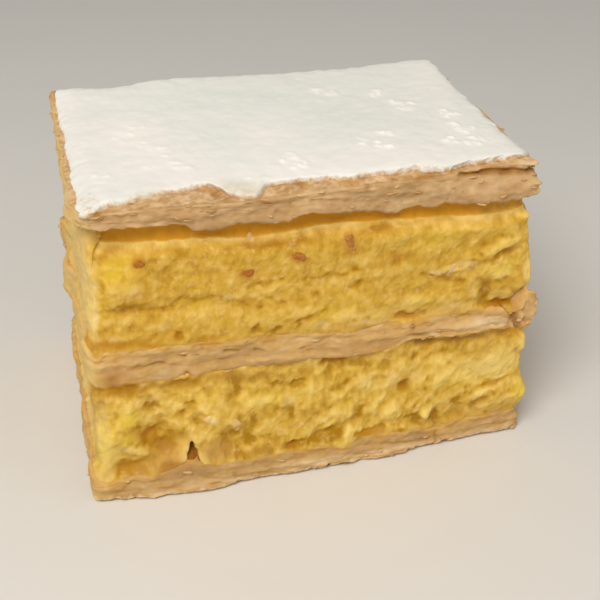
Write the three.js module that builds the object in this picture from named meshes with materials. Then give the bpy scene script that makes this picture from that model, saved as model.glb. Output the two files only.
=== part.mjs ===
// Mille feuille slice, millimetres, +Z up, resting on its base sheet.
// X runs along the cut front, -Y is the cut front, -X is the left end.
// Three baked puff pastry sheets hold two thick layers of set custard, and icing sugar covers the top.
// Each layer is one closed solid: a stack of outline rows round the edge, closed by ringed caps.

import * as THREE from "three";

// ---- Driving dimensions ----

const GAP = 0.3; // clearance between one layer and the next
const CORNER = 2.0; // plan radius of the slice's upright corners
const HALF_DEPTH = 31.0; // half of the depth at the foot

// Plan limits at height z: the slice is a little wider at the foot than at the top.
const LEFT_FOOT = -46.0;
const LEFT_LEAN = 0.032;
const RIGHT_FOOT = 46.8;
const RIGHT_LEAN = -0.046;
const FRONT_LEAN = 0.024;

// The foot of the cut front is pushed forward: [x, push], fading out at BELLY_HEIGHT.
const BELLY = [
  [-46, 0.9], [-41, 1.5], [-34, 2.4], [-24, 3.0], [-10, 2.2], [6, 2.2], [18, 1.5], [28, 0.6], [46, 0.4],
];
const BELLY_HEIGHT = 30.0;

// Heights of the layer boundaries: [x, z] along the cut front, and the same along the back.
const BASE_TOP = {
  front: [[-46, 7.0], [-33, 6.5], [-10, 6.2], [18, 6.2], [45, 6.5]],
  back: [[-46, 6.2], [0, 6.0], [45, 6.2]],
};
const MIDDLE_UNDER = {
  front: [[-46, 28.0], [-23, 27.0], [-2, 27.0], [17, 26.1], [45, 26.3]],
  back: [[-46, 27.0], [0, 26.6], [45, 26.4]],
};
const MIDDLE_TOP = {
  front: [[-46, 35.7], [-23, 34.7], [-2, 32.9], [17, 31.8], [45, 31.9]],
  back: [[-46, 33.4], [0, 32.8], [45, 32.2]],
};
const TOP_UNDER = {
  front: [[-46, 60.4], [-25, 58.6], [-3, 58.3], [16, 57.5], [45, 56.2]],
  back: [[-46, 58.4], [0, 58.0], [45, 57.2]],
};
const TOP_FACE = {
  front: [[-46, 62.9], [0, 62.7], [45, 63.0]],
  back: [[-46, 62.7], [0, 62.9], [45, 62.8]],
};

// The broken corner of the middle sheet is tipped up, and the custard over it is hollow there.
const TIPPED_CORNER = { at: [46.5, -29.5], lift: 2.3, reach: 3.2 };
const TIPPED_HOLLOW = { at: [46.0, -29.5], lift: 3.2, reach: 4.4 };

// Dents and lifts of the top sheet: [x, y, lift, reach].
const LIFTS = [
  [43, -29, 0.8, 9],
  [-43, 30, 1.5, 8],
  [-31, 31, -0.7, 4],
  [-18, 31, 1.0, 13],
  [42, 31, 0.6, 10],
  [-10, -30, -0.4, 9],
  [20, 6, -0.35, 14],
  [-22, 8, 0.3, 13],
];

// Icing sugar: thickness at its edge and in the field, and how far its edge stays inside the sheet.
const SUGAR_EDGE = 0.45;
const SUGAR_FIELD = 0.85;
const SUGAR_INSET = { left: 1.1, right: 0.6, back: 0.5, rightFrontCorner: 2.4 };
// Front edge of the sugar: [x, y].
const SUGAR_FRONT = [
  [-44, -28.8], [-39.5, -29.0], [-38.3, -26.7], [-33.4, -26.8], [-26.2, -23.6],
  [-17.6, -24.8], [-16.4, -28.4], [-10.9, -29.3], [-9.4, -27.0], [-2, -25.2],
  [7, -27.3], [12.6, -26.4], [20.9, -27.8], [25.7, -28.6], [31.7, -27.3],
  [39.2, -26.7], [45, -26.3],
];

// Finish of each kind of layer.
const FINISH = {
  pastry: { color: "#cfa673", roughness: 0.85, metalness: 0 },
  custard: { color: "#e0b24e", roughness: 0.5, metalness: 0 },
  sugar: { color: "#edebe4", roughness: 0.95, metalness: 0 },
};

// ---- Local relief ----
// Each mark moves the edge by `out` round [x, y, z]; `wide` runs along the edge, `high` up it.

const CUSTARD_LOWER_MARKS = [
  { at: [-32.2, -33, 14.3], wide: 4.0, high: 5.0, out: -4.0 }, // deep hollow
  { at: [-39.2, -32.5, 9.2], wide: 4.2, high: 2.2, out: -3.2 }, // undercut below the lobe
  { at: [-40.5, -32, 15.0], wide: 3.6, high: 2.6, out: 1.0 }, // lobe
  { at: [-25.7, -33, 9.6], wide: 1.9, high: 2.6, out: -2.8 }, // tent-shaped gap
  { at: [-17.2, -33, 11.2], wide: 2.8, high: 2.2, out: -1.5 },
  { at: [-22.5, -32, 19.5], wide: 4.5, high: 3.0, out: 0.7 },
  { at: [-8.0, -32, 17.5], wide: 5.0, high: 3.0, out: 0.6 },
  { at: [4.0, -32, 25.4], wide: 2.8, high: 1.4, out: -1.6 }, // gap under the middle sheet
  { at: [21.8, -32, 24.6], wide: 2.8, high: 1.7, out: -1.6 }, // gap under the middle sheet
  { at: [18.7, -32, 17.4], wide: 1.8, high: 1.7, out: -1.9 }, // pit
  { at: [16.2, -33, 7.6], wide: 3.0, high: 1.1, out: -1.4 },
  { at: [36.0, -31, 15.5], wide: 3.0, high: 1.6, out: -0.9 }, // fold
  { at: [38.0, -31, 11.0], wide: 5.0, high: 2.2, out: 0.7 },
  { at: [45.5, -28, 10.6], wide: 4.5, high: 2.8, out: 1.0 },
  { at: [45.0, -28, 18.2], wide: 6.0, high: 3.0, out: -0.5 },
  { at: [45.0, 6, 16.0], wide: 9.0, high: 5.0, out: -1.2 },
  { at: [45.0, 20, 12.0], wide: 5.0, high: 4.0, out: 0.9 },
  { at: [10.0, 31, 14.0], wide: 8.0, high: 5.0, out: -1.6 },
  { at: [-20.0, 31, 18.0], wide: 6.0, high: 4.0, out: 1.0 },
  { at: [28.0, 31, 19.0], wide: 5.0, high: 3.0, out: -1.3 },
];
const CUSTARD_UPPER_MARKS = [
  { at: [-42.0, -30, 57.6], wide: 4.2, high: 2.6, out: -1.3 }, // chipped corner
  { at: [-43.8, -29.6, 50.0], wide: 3.4, high: 14.0, out: -1.9 }, // worn corner
  { at: [-37.8, -30, 51.4], wide: 2.2, high: 1.8, out: -0.9 },
  { at: [-26.0, -30, 43.4], wide: 12.0, high: 1.2, out: -0.7 }, // long seam
  { at: [2.0, -30, 44.6], wide: 14.0, high: 1.1, out: -0.5 }, // long seam
  { at: [-12.0, -30, 38.0], wide: 9.0, high: 2.6, out: 0.6 },
  { at: [27.0, -30, 38.0], wide: 6.0, high: 2.4, out: 0.9 }, // ledge
  { at: [36.0, -30, 47.0], wide: 4.0, high: 2.2, out: 0.7 }, // folds at the right end
  { at: [39.5, -30, 34.4], wide: 3.8, high: 2.0, out: -2.6 }, // pocket over the middle sheet
  { at: [19.5, -30, 33.9], wide: 3.4, high: 1.2, out: -1.1 },
  { at: [-2.0, -30, 36.0], wide: 3.4, high: 1.2, out: 0.6 },
  { at: [43.5, -28, 53.0], wide: 5.0, high: 3.0, out: -0.5 },
  { at: [44.8, -29, 40.0], wide: 4.0, high: 3.0, out: 0.9 },
  { at: [44.0, -4, 46.0], wide: 8.0, high: 6.0, out: -0.9 },
  { at: [44.0, 16, 40.0], wide: 6.0, high: 4.0, out: 0.8 },
  { at: [-14.0, 31, 45.0], wide: 10.0, high: 4.0, out: -1.0 },
  { at: [20.0, 31, 50.0], wide: 8.0, high: 3.0, out: 0.8 },
];
const MIDDLE_SHEET_MARKS = [
  { at: [-45.0, 29.5, 30.5], wide: 3.4, high: 9, out: 0.7 },
  { at: [-45.0, 20.5, 30.5], wide: 4.2, high: 9, out: -1.9 },
  { at: [-45.0, 7.5, 30.5], wide: 3.8, high: 9, out: 1.5 }, // tab that sticks out of the left end
  { at: [-44.5, -30.0, 31.5], wide: 3.0, high: 9, out: -0.7 },
  { at: [-31.0, -30.2, 31.3], wide: 5.5, high: 0.9, out: -0.9 }, // gap between two leaves
  { at: [42.4, -30.4, 30.0], wide: 0.8, high: 9, out: -2.6 }, // crack beside the broken corner
  { at: [45.6, -29.6, 31.4], wide: 3.6, high: 4.8, out: 2.6 }, // broken corner
  { at: [46.0, -12.0, 29.5], wide: 5.0, high: 9, out: -0.8 },
];
const TOP_SHEET_MARKS = [
  { at: [-43.9, -22.0, 60.5], wide: 3.6, high: 9, out: 0.9 },
  { at: [-43.6, -29.5, 60.5], wide: 3.2, high: 9, out: -1.3 },
  { at: [36.0, -29.6, 62.3], wide: 9.0, high: 0.7, out: -1.4 }, // leaf lifting off at the right
  { at: [42.8, -28.5, 62.5], wide: 4.5, high: 0.7, out: -1.8 },
  { at: [43.6, -27.0, 58.3], wide: 5.0, high: 1.9, out: 1.4 },
  { at: [43.9, 9.0, 61.0], wide: 6.0, high: 9, out: -0.9 },
  { at: [43.9, 26.0, 61.0], wide: 9.0, high: 9, out: -0.8 },
  { at: [-31.5, 31.0, 61.0], wide: 2.6, high: 9, out: -0.9 },
];
const BASE_SHEET_MARKS = [
  { at: [-46.0, -9.0, 2.5], wide: 3.0, high: 9, out: 0.5 },
  { at: [-46.0, 1.0, 2.5], wide: 5.0, high: 9, out: -0.8 },
  { at: [-46.0, -29.0, 1.0], wide: 4.0, high: 9, out: 0.8 },
  { at: [45.0, -30.5, 2.0], wide: 3.6, high: 9, out: -0.6 },
  { at: [38.0, -31.0, 0.0], wide: 5.0, high: 1.4, out: -0.8 },
  { at: [46.0, 12.0, 3.0], wide: 6.0, high: 9, out: 0.8 },
];

// Rows of a pastry sheet: share of its height, how far the row stands back, and its leaf.
const LEAF_GROOVE = 0.75;
const LEAF_ROUND = 0.35;
const SHEET_ROWS = [
  { t: 0.0, back: LEAF_ROUND, leaf: 0 },
  { t: 0.09, back: 0, leaf: 0 },
  { t: 0.27, back: 0, leaf: 0 },
  { t: 0.33, back: LEAF_GROOVE, leaf: 0 },
  { t: 0.39, back: 0, leaf: 1 },
  { t: 0.61, back: 0, leaf: 1 },
  { t: 0.67, back: LEAF_GROOVE, leaf: 2 },
  { t: 0.73, back: 0, leaf: 2 },
  { t: 0.92, back: 0, leaf: 2 },
  { t: 1.0, back: LEAF_ROUND, leaf: 2 },
];

// Rows of a custard layer. The top row of the upper layer stands back under the top sheet.
const LOWER_SHARES = [0, 0.09, 0.2, 0.32, 0.44, 0.56, 0.68, 0.8, 0.92, 1];
const UPPER_SHARES = [0, 0.09, 0.2, 0.33, 0.46, 0.59, 0.71, 0.83, 0.93, 0.952, 1];
const LEDGE = 0.94; // share of the upper custard's height where its face ends
const SHADOW_GROOVE = 1.9; // how far the upper custard stands back above that
const LOWER_SETBACK = 0.5;

// ---- Seeded noise ----

function lattice(ix, iy, iz, seed) {
  let h = Math.imul(ix, 374761393) + Math.imul(iy, 668265263);
  h += Math.imul(iz, 1440662683) + Math.imul(seed, 974634777);
  h = Math.imul(h ^ (h >>> 13), 1274126177);
  h = Math.imul(h ^ (h >>> 15), 2246822519);
  return ((h ^ (h >>> 16)) >>> 0) / 2147483647.5 - 1;
}

// Smooth noise in -1..1 whose lumps are about `size` across.
function noise(x, y, z, size, seed) {
  const p = [x / size, y / size, z / size];
  const cell = p.map(Math.floor);
  const f = p.map((v, i) => v - cell[i]);
  const w = f.map((v) => v * v * (3 - 2 * v));
  let sum = 0;
  for (let corner = 0; corner < 8; corner += 1) {
    const d = [corner & 1, (corner >> 1) & 1, (corner >> 2) & 1];
    const share = d.reduce((a, bit, i) => a * (bit ? w[i] : 1 - w[i]), 1);
    sum += share * lattice(cell[0] + d[0], cell[1] + d[1], cell[2] + d[2], seed);
  }
  return sum;
}

// ---- Profiles ----

const clamp = (v, low, high) => Math.min(high, Math.max(low, v));
const ease = (v) => v * v * (3 - 2 * v);
const mix = (a, b, t) => a + (b - a) * t;

// Value at x of a list of [x, value] pairs, eased between them.
function along(pairs, x, bend = ease) {
  const last = pairs.length - 1;
  if (x <= pairs[0][0]) return pairs[0][1];
  if (x >= pairs[last][0]) return pairs[last][1];
  const i = pairs.findIndex((pair) => pair[0] > x);
  const [x0, v0] = pairs[i - 1];
  const [x1, v1] = pairs[i];
  return mix(v0, v1, bend((x - x0) / (x1 - x0)));
}

// Height of a layer boundary over the plan.
function boundary(profile, seed, wave) {
  return (x, y) => {
    const depth = clamp((y + HALF_DEPTH) / (2 * HALF_DEPTH), 0, 1);
    const level = mix(along(profile.front, x), along(profile.back, x), ease(depth));
    return level + wave * noise(x, y, 0, 21, seed);
  };
}

const baseTop = boundary(BASE_TOP, 11, 0.3);
const middleUnder = boundary(MIDDLE_UNDER, 12, 0.3);
const middleTop = boundary(MIDDLE_TOP, 13, 0.3);
const topUnder = boundary(TOP_UNDER, 14, 0.3);
const topFlat = boundary(TOP_FACE, 15, 0.25);

function bump({ at, lift, reach }, x, y) {
  return lift * Math.exp(-((x - at[0]) ** 2 + (y - at[1]) ** 2) / reach ** 2);
}
const tippedTop = (x, y) => middleTop(x, y) + bump(TIPPED_CORNER, x, y);
const hollowFloor = (x, y) => middleTop(x, y) + bump(TIPPED_HOLLOW, x, y);

function topFace(x, y) {
  return LIFTS.reduce(
    (z, [lx, ly, lift, reach]) => z + bump({ at: [lx, ly], lift, reach }, x, y),
    topFlat(x, y),
  );
}

// Forward push of the cut front at its foot.
function belly(x, z) {
  const rise = 1 - clamp((z - 4) / BELLY_HEIGHT, 0, 1);
  return along(BELLY, x) * ease(rise);
}

// ---- Outline ----

// Stations round the plan: [u, v] on the unit square, from the front left corner, left to right first.
function stationsAlong(count, extra, place) {
  const shares = Array.from({ length: count }, (_, i) => i / count).concat(extra);
  return shares.sort((a, b) => a - b).map((s) => place(s * 2 - 1));
}
const CRACK_STATIONS = [0.945, 0.972]; // shares of the front beside and in the crack
const STATIONS = [
  ...stationsAlong(32, CRACK_STATIONS, (s) => [s, -1]),
  ...stationsAlong(18, [], (s) => [1, s]),
  ...stationsAlong(24, [], (s) => [-s, 1]),
  ...stationsAlong(20, [], (s) => [-1, -s]),
];

// Point of the plan outline at height z, with the direction in which relief moves it.
function outline([u, v], z) {
  const left = LEFT_FOOT + LEFT_LEAN * z;
  const right = RIGHT_FOOT + RIGHT_LEAN * z;
  const front = -HALF_DEPTH + FRONT_LEAN * z;
  const mid = [(left + right) / 2, (front + HALF_DEPTH) / 2];
  const half = [(right - left) / 2, (HALF_DEPTH - front) / 2];
  const p = [u * half[0], v * half[1]];
  const core = p.map((c, i) => clamp(c, CORNER - half[i], half[i] - CORNER));
  const arm = [p[0] - core[0], p[1] - core[1]];
  const reach = Math.hypot(arm[0], arm[1]);
  const round = p.map((c, i) => core[i] + (arm[i] * CORNER) / reach);
  const slope = round.map((c, i) => Math.sign(c) * Math.abs(c / half[i]) ** 7 / half[i]);
  const size = Math.hypot(slope[0], slope[1]);
  return {
    x: mid[0] + round[0],
    y: mid[1] + round[1],
    nx: slope[0] / size,
    ny: slope[1] / size,
    mid,
    half,
  };
}

// Plan point of the outline at height z, drawn in towards the middle by dx and dy.
function drawnIn(station, z, dx, dy) {
  const { x, y, mid, half } = outline(station, z);
  return [x - ((x - mid[0]) * dx) / half[0], y - ((y - mid[1]) * dy) / half[1]];
}

function marksAt(marks, x, y, z) {
  return marks.reduce((sum, m) => {
    const plan = Math.hypot(x - m.at[0], y - m.at[1]) / m.wide;
    const rise = (z - m.at[2]) / m.high;
    return sum + m.out * Math.exp(-plan * plan - rise * rise);
  }, 0);
}

// One point of a layer's edge: the outline moved by its relief, at a share t of the layer's height.
function edgePoint(station, layer, t, relief) {
  const start = outline(station, layer.level);
  const z0 = mix(layer.under(start.x, start.y), layer.over(start.x, start.y), t);
  const o = outline(station, z0);
  const front = clamp(-o.ny, 0, 1);
  const out = relief(o, z0) + belly(o.x, z0) * front ** 2 + marksAt(layer.marks, o.x, o.y, z0);
  const x = o.x + o.nx * out;
  const y = o.y + o.ny * out;
  return [x, y, mix(layer.under(x, y), layer.over(x, y), t)];
}

// ---- Mesh of one layer ----

class Skin {
  constructor() {
    this.points = [];
    this.faces = [];
  }

  ring(points) {
    const first = this.points.length;
    this.points.push(...points);
    return points.map((_, i) => first + i);
  }

  // Joins two rings that run the same way; the second may hold half as many points.
  join(a, b, flip) {
    const step = a.length / b.length;
    const put = (p, q, r) => this.faces.push(flip ? [p, r, q] : [p, q, r]);
    a.forEach((p, i) => {
      const q = a[(i + 1) % a.length];
      const here = b[Math.floor(i / step)];
      const next = b[Math.floor((i + 1) / step) % b.length];
      put(p, q, here);
      if (next !== here) put(q, next, here);
    });
  }

  // Closes a ring with rings inside it and a fan to the middle.
  cap(edge, insets, height, flip) {
    let outer = edge;
    insets.forEach(({ inset, keep }) => {
      const points = STATIONS.filter((_, i) => i % keep === 0).map((s) => {
        const [dx, dy] = typeof inset === "function" ? inset(s) : [inset, inset];
        const [x, y] = drawnIn(s, CAP_LEVEL, dx, dy);
        return [x, y, height(x, y)];
      });
      const inner = this.ring(points);
      this.join(outer, inner, flip);
      outer = inner;
    });
    const middle = this.ring([[0, 0, height(0, 0)]])[0];
    outer.forEach((p, i) => {
      const q = outer[(i + 1) % outer.length];
      this.faces.push(flip ? [p, middle, q] : [p, q, middle]);
    });
  }

  mesh(name, finish) {
    const flat = this.faces.flatMap((face) => face.flatMap((i) => this.points[i]));
    const geometry = new THREE.BufferGeometry();
    geometry.setAttribute("position", new THREE.Float32BufferAttribute(flat, 3));
    geometry.computeVertexNormals();
    const mesh = new THREE.Mesh(geometry, new THREE.MeshStandardMaterial(finish));
    mesh.name = name;
    return mesh;
  }
}

const CAP_LEVEL = 30; // the caps' inner rings use the outline at this height in every layer
const BURIED_RINGS = [
  { inset: 5, keep: 2 },
  { inset: 15, keep: 4 },
];
const TOP_RINGS = [
  { inset: 4.5, keep: 1 },
  { inset: 9, keep: 2 },
  { inset: 17, keep: 4 },
];

function layerSolid(name, finish, layer, rows, overRings) {
  const skin = new Skin();
  const rings = rows.map(({ t, relief }) =>
    skin.ring(STATIONS.map((s) => edgePoint(s, layer, t, relief))),
  );
  rings.slice(1).forEach((ring, i) => skin.join(rings[i], ring, false));
  skin.cap(rings[rings.length - 1], overRings, layer.over, false);
  skin.cap(rings[0], BURIED_RINGS, layer.under, true);
  return skin.mesh(name, finish);
}

// ---- Pastry sheets ----

// Leaves reach out by different amounts, and the grooves between them wander.
function sheetRows(seed) {
  return SHEET_ROWS.map(({ t, back, leaf }) => ({
    t,
    relief: (o, z) => {
      const broad = noise(o.x, o.y, leaf * 9, 8, seed + leaf);
      const fine = noise(o.x, o.y, leaf * 9 + t, 3.1, seed + 20 + leaf);
      const depth = back * (1 + 0.5 * noise(o.x, o.y, z, 6, seed + 40));
      return 0.55 * broad + 0.4 * fine - depth;
    },
  }));
}

function sheet(name, under, over, level, marks, seed, overRings) {
  const layer = { under, over, level, marks };
  return layerSolid(name, FINISH.pastry, layer, sheetRows(seed), overRings);
}

// ---- Custard layers ----

// A cut face of set custard: low lumps, drawn out along the cut.
function custard(name, layer, rows) {
  return layerSolid(name, FINISH.custard, layer, rows, BURIED_RINGS);
}

function custardRows(shares, seed, rough, setback) {
  return shares.map((t) => ({
    t,
    relief: (o, z) => {
      const broad = noise(o.x, o.y, z * 1.6, 9, seed);
      const fine = noise(o.x, o.y, z * 1.3, 4.3, seed + 1);
      return rough * (0.6 * broad + 0.45 * fine) - setback(o, t);
    },
  }));
}

const lowerSetback = (o, t) => LOWER_SETBACK + 0.3 * ease(clamp((t - 0.9) / 0.1, 0, 1));

function upperSetback(o, t) {
  const left = clamp(-o.nx, 0, 1);
  const front = clamp(-o.ny, 0, 1);
  const groove = t > LEDGE ? SHADOW_GROOVE * mix(0.45, 1, front) * mix(0.85, 1.1, t) : 0;
  return 0.4 + 0.4 * left + groove;
}

// ---- Icing sugar ----

const SUGAR_LEVEL = 62;

// How far the sugar's edge stands inside the outline, along X and along Y.
function sugarInset([u, v]) {
  const o = outline([u, v], SUGAR_LEVEL);
  const grain = 0.35 * noise(o.x, o.y, 0, 3.4, 71) + 0.25 * noise(o.x, o.y, 3, 8, 72);
  const fade = ease(clamp((v + 1) / 0.16, 0, 1));
  const right = mix(SUGAR_INSET.rightFrontCorner, SUGAR_INSET.right, fade);
  const dx = (u > 0 ? right : SUGAR_INSET.left) + grain;
  const [x] = drawnIn([u, v], SUGAR_LEVEL, dx, 0);
  const front = along(SUGAR_FRONT, x, (t) => t) - (FRONT_LEAN * SUGAR_LEVEL - HALF_DEPTH);
  return [dx, (v > 0 ? SUGAR_INSET.back : front) + 0.5 * grain];
}

function sugarSolid(name) {
  const skin = new Skin();
  const under = (x, y) => topFace(x, y) + GAP;
  const dust = (x, y) => 0.16 * noise(x, y, 0, 5.5, 73) + 0.14 * noise(x, y, 4, 12, 74);
  const over = (x, y) => under(x, y) + SUGAR_FIELD + dust(x, y);
  const ringIn = (more, height) =>
    skin.ring(
      STATIONS.map((s) => {
        const [dx, dy] = sugarInset(s);
        const [x, y] = drawnIn(s, SUGAR_LEVEL, dx + more, dy + more);
        return [x, y, height(x, y)];
      }),
    );
  const low = ringIn(0, under);
  const lip = ringIn(0.15, (x, y) => under(x, y) + SUGAR_EDGE);
  skin.join(low, lip, false);
  const shelf = ringIn(1.6, over);
  skin.join(lip, shelf, false);
  const halfway = (s) => sugarInset(s).map((d) => (d + 9) / 2 + 0.4);
  const overRings = [
    { inset: halfway, keep: 1 },
    { inset: 9, keep: 2 },
    { inset: 13.5, keep: 2 },
    { inset: 19, keep: 4 },
  ];
  const underRings = [
    { inset: halfway, keep: 1 },
    { inset: 9, keep: 2 },
    { inset: 17, keep: 4 },
  ];
  skin.cap(shelf, overRings, over, false);
  skin.cap(low, underRings, under, true);
  return skin.mesh(name, FINISH.sugar);
}

// ---- Assembly ----

const half = GAP / 2;
const below = (surface) => (x, y) => surface(x, y) - half;
const above = (surface) => (x, y) => surface(x, y) + half;
const floor = () => 0;

const slice = new THREE.Group();
slice.name = "mille_feuille_slice";

slice.add(
  sheet("pastry_base", floor, below(baseTop), 3, BASE_SHEET_MARKS, 100, BURIED_RINGS),
);
slice.add(
  custard(
    "custard_lower",
    { under: above(baseTop), over: below(middleUnder), level: 16, marks: CUSTARD_LOWER_MARKS },
    custardRows(LOWER_SHARES, 200, 1.0, lowerSetback),
  ),
);
slice.add(
  sheet(
    "pastry_middle",
    above(middleUnder),
    below(tippedTop),
    30,
    MIDDLE_SHEET_MARKS,
    300,
    BURIED_RINGS,
  ),
);
slice.add(
  custard(
    "custard_upper",
    { under: above(hollowFloor), over: below(topUnder), level: 46, marks: CUSTARD_UPPER_MARKS },
    custardRows(UPPER_SHARES, 400, 0.6, upperSetback),
  ),
);
slice.add(
  sheet("pastry_top", above(topUnder), topFace, 60, TOP_SHEET_MARKS, 500, TOP_RINGS),
);
slice.add(sugarSolid("icing_sugar"));

// The origin is at the middle of the foot.
const extent = new THREE.Box3().setFromObject(slice);
const middle = extent.getCenter(new THREE.Vector3());
slice.position.set(-middle.x, -middle.y, -extent.min.z);

export default slice;
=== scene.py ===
import math
from itertools import product

import bmesh
import bpy
import numpy as np
from mathutils import Matrix, Vector
from mathutils.bvhtree import BVHTree


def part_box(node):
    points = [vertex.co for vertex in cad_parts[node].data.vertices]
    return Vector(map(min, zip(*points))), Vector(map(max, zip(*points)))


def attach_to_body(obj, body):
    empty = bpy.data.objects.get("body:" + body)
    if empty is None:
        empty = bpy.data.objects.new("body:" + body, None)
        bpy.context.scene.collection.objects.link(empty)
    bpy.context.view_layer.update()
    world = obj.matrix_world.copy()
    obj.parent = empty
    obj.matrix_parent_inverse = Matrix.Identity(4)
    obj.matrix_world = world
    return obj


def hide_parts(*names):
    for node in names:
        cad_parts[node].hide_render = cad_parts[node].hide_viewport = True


# Mille feuille slice. Each CAD layer is replaced by a finer mesh that takes its form from the solid.
# Shapes are worked out in millimetres; MM turns them into Blender's metres.
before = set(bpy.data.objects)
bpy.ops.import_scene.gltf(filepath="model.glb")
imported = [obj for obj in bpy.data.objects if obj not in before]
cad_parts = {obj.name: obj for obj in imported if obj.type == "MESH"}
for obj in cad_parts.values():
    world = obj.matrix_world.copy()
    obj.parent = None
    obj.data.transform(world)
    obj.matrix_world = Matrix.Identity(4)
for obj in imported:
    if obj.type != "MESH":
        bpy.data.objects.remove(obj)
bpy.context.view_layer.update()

MM = 0.001
UP = np.array([0.0, 0.0, 1.0])


def put(name, data):
    """A new object in the scene."""
    made = bpy.data.objects.new(name, data)
    bpy.context.scene.collection.objects.link(made)
    return made


# ---- Camera ----

CAMERA_AT = (-0.04717068, -0.1957118, 0.14779535)
CAMERA_RIGHT = (0.968065, -0.250699, 0.000593)
CAMERA_UP = (0.131843, 0.511115, 0.849340)
CAMERA_BACK = (-0.213232, -0.822138, 0.527846)
LENS_MM = 64.03
SENSOR_MM = 36.0
NEAREST_M = 0.01


def make_camera():
    data = bpy.data.cameras.new("camera")
    data.lens = LENS_MM
    data.sensor_width = SENSOR_MM
    data.clip_start = NEAREST_M
    camera = put("camera", data)
    turn = Matrix((CAMERA_RIGHT, CAMERA_UP, CAMERA_BACK)).transposed()
    camera.matrix_world = Matrix.Translation(CAMERA_AT) @ turn.to_4x4()
    bpy.context.scene.camera = camera


# ---- Seeded noise ----

U32 = np.uint32
# The odd numbers below mix the bits of a lattice point's whole coordinates and the seed.


def lattice(ix, iy, iz, seed):
    """A well mixed 32-bit number for each lattice point."""
    h = ix * U32(374761393) + iy * U32(668265263) + iz * U32(1440662683)
    h = h + U32(seed * 974634777 & 0xFFFFFFFF)
    h = (h ^ (h >> U32(13))) * U32(1274126177)
    h = (h ^ (h >> U32(15))) * U32(2246822519)
    return h ^ (h >> U32(16))


def noise(points, size, seed):
    """Gradient noise of about -1..1 whose lumps are `size` across: one size, or one for each axis."""
    q = points.astype(np.float32) / np.asarray(size, np.float32)
    cell = np.floor(q)
    f = q - cell
    cell = cell.astype(np.int64).astype(U32)
    w = f * f * f * (f * (f * 6 - 15) + 10)
    total = np.zeros(q.shape[:-1], np.float32)
    for corner in product((0, 1), repeat=3):
        h = lattice(*(cell[..., i] + U32(corner[i]) for i in range(3)), seed)
        slope = 0
        share = 1
        for i in range(3):
            gradient = ((h >> U32(8 * i)) & U32(255)).astype(np.float32) / 127.5 - 1
            slope = slope + gradient * (f[..., i] - corner[i])
            share = share * (w[..., i] if corner[i] else 1 - w[..., i])
        total += slope * share
    return total * 1.5


def layered(points, seed, *waves):
    """Noises of (amount, size) added up, each with the next seed."""
    return sum(amount * noise(points, size, seed + k) for k, (amount, size) in enumerate(waves))


def grains(points, size, seed):
    """Packed round grains of uneven height, about -1..1: high in a grain, low between grains."""
    q = points.astype(np.float32) / np.asarray(size, np.float32)
    cell = np.floor(q)
    f = q - cell
    cell = cell.astype(np.int64).astype(U32)
    nearest = np.full(q.shape[:-1], 9.0, np.float32)
    height = np.zeros(q.shape[:-1], np.float32)
    for step in product((-1, 0, 1), repeat=3):
        h = lattice(*(cell[..., i] + U32(step[i] % 2**32) for i in range(3)), seed)
        away = 0
        for i in range(3):
            place = step[i] + ((h >> U32(8 * i)) & U32(255)).astype(np.float32) / 255
            away = away + (place - f[..., i]) ** 2
        closer = away < nearest
        nearest = np.where(closer, away, nearest)
        height = np.where(closer, (h >> U32(24)).astype(np.float32) / 255, height)
    return 0.9 - 1.9 * nearest + 0.9 * (height - 0.5)


def warped(points, size, reach, seed):
    """The points moved about by noise, so that what is drawn from them wanders."""
    moves = [noise(points, size, seed + i) for i in range(3)]
    return points + reach * np.stack(moves, -1)


def ease(v):
    v = np.clip(v, 0, 1)
    return v * v * (3 - 2 * v)


def blurred(values, sigma, axis=0, wrap=True):
    """Gaussian blur along one axis, round the ring or with held ends."""
    reach = max(1, int(math.ceil(3 * sigma)))
    steps = np.arange(-reach, reach + 1)
    weights = np.exp(-0.5 * (steps / sigma) ** 2)
    weights /= weights.sum()
    pad = [(0, 0)] * values.ndim
    pad[axis] = (reach, reach)
    padded = np.pad(values, pad, mode="wrap" if wrap else "edge")
    total = 0
    for k, weight in enumerate(weights):
        total = total + weight * np.take(padded, range(k, k + values.shape[axis]), axis)
    return total


def softened(rows, around, up):
    """Rows of a ring blurred round it and then from row to row."""
    return blurred(blurred(rows, around, 1), up, 0, False)


# ---- Plan of the slice ----

SIDE_SAMPLES = (350, 180, 230, 180)  # along the front, right end, back and left end
CORNER = 2.0  # plan radius of the upright corners
FAN_POWER = 7  # how late the direction of relief turns round a corner


def square_walk():
    """Points round the unit square, front first and left to right, with each one's side."""
    walk = []
    for side, count in enumerate(SIDE_SAMPLES):
        for k in range(count):
            s = 2 * k / count - 1
            walk.append(((s, -1), (1, s), (-s, 1), (-1, -s))[side])
    return np.array(walk, float)


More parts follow.
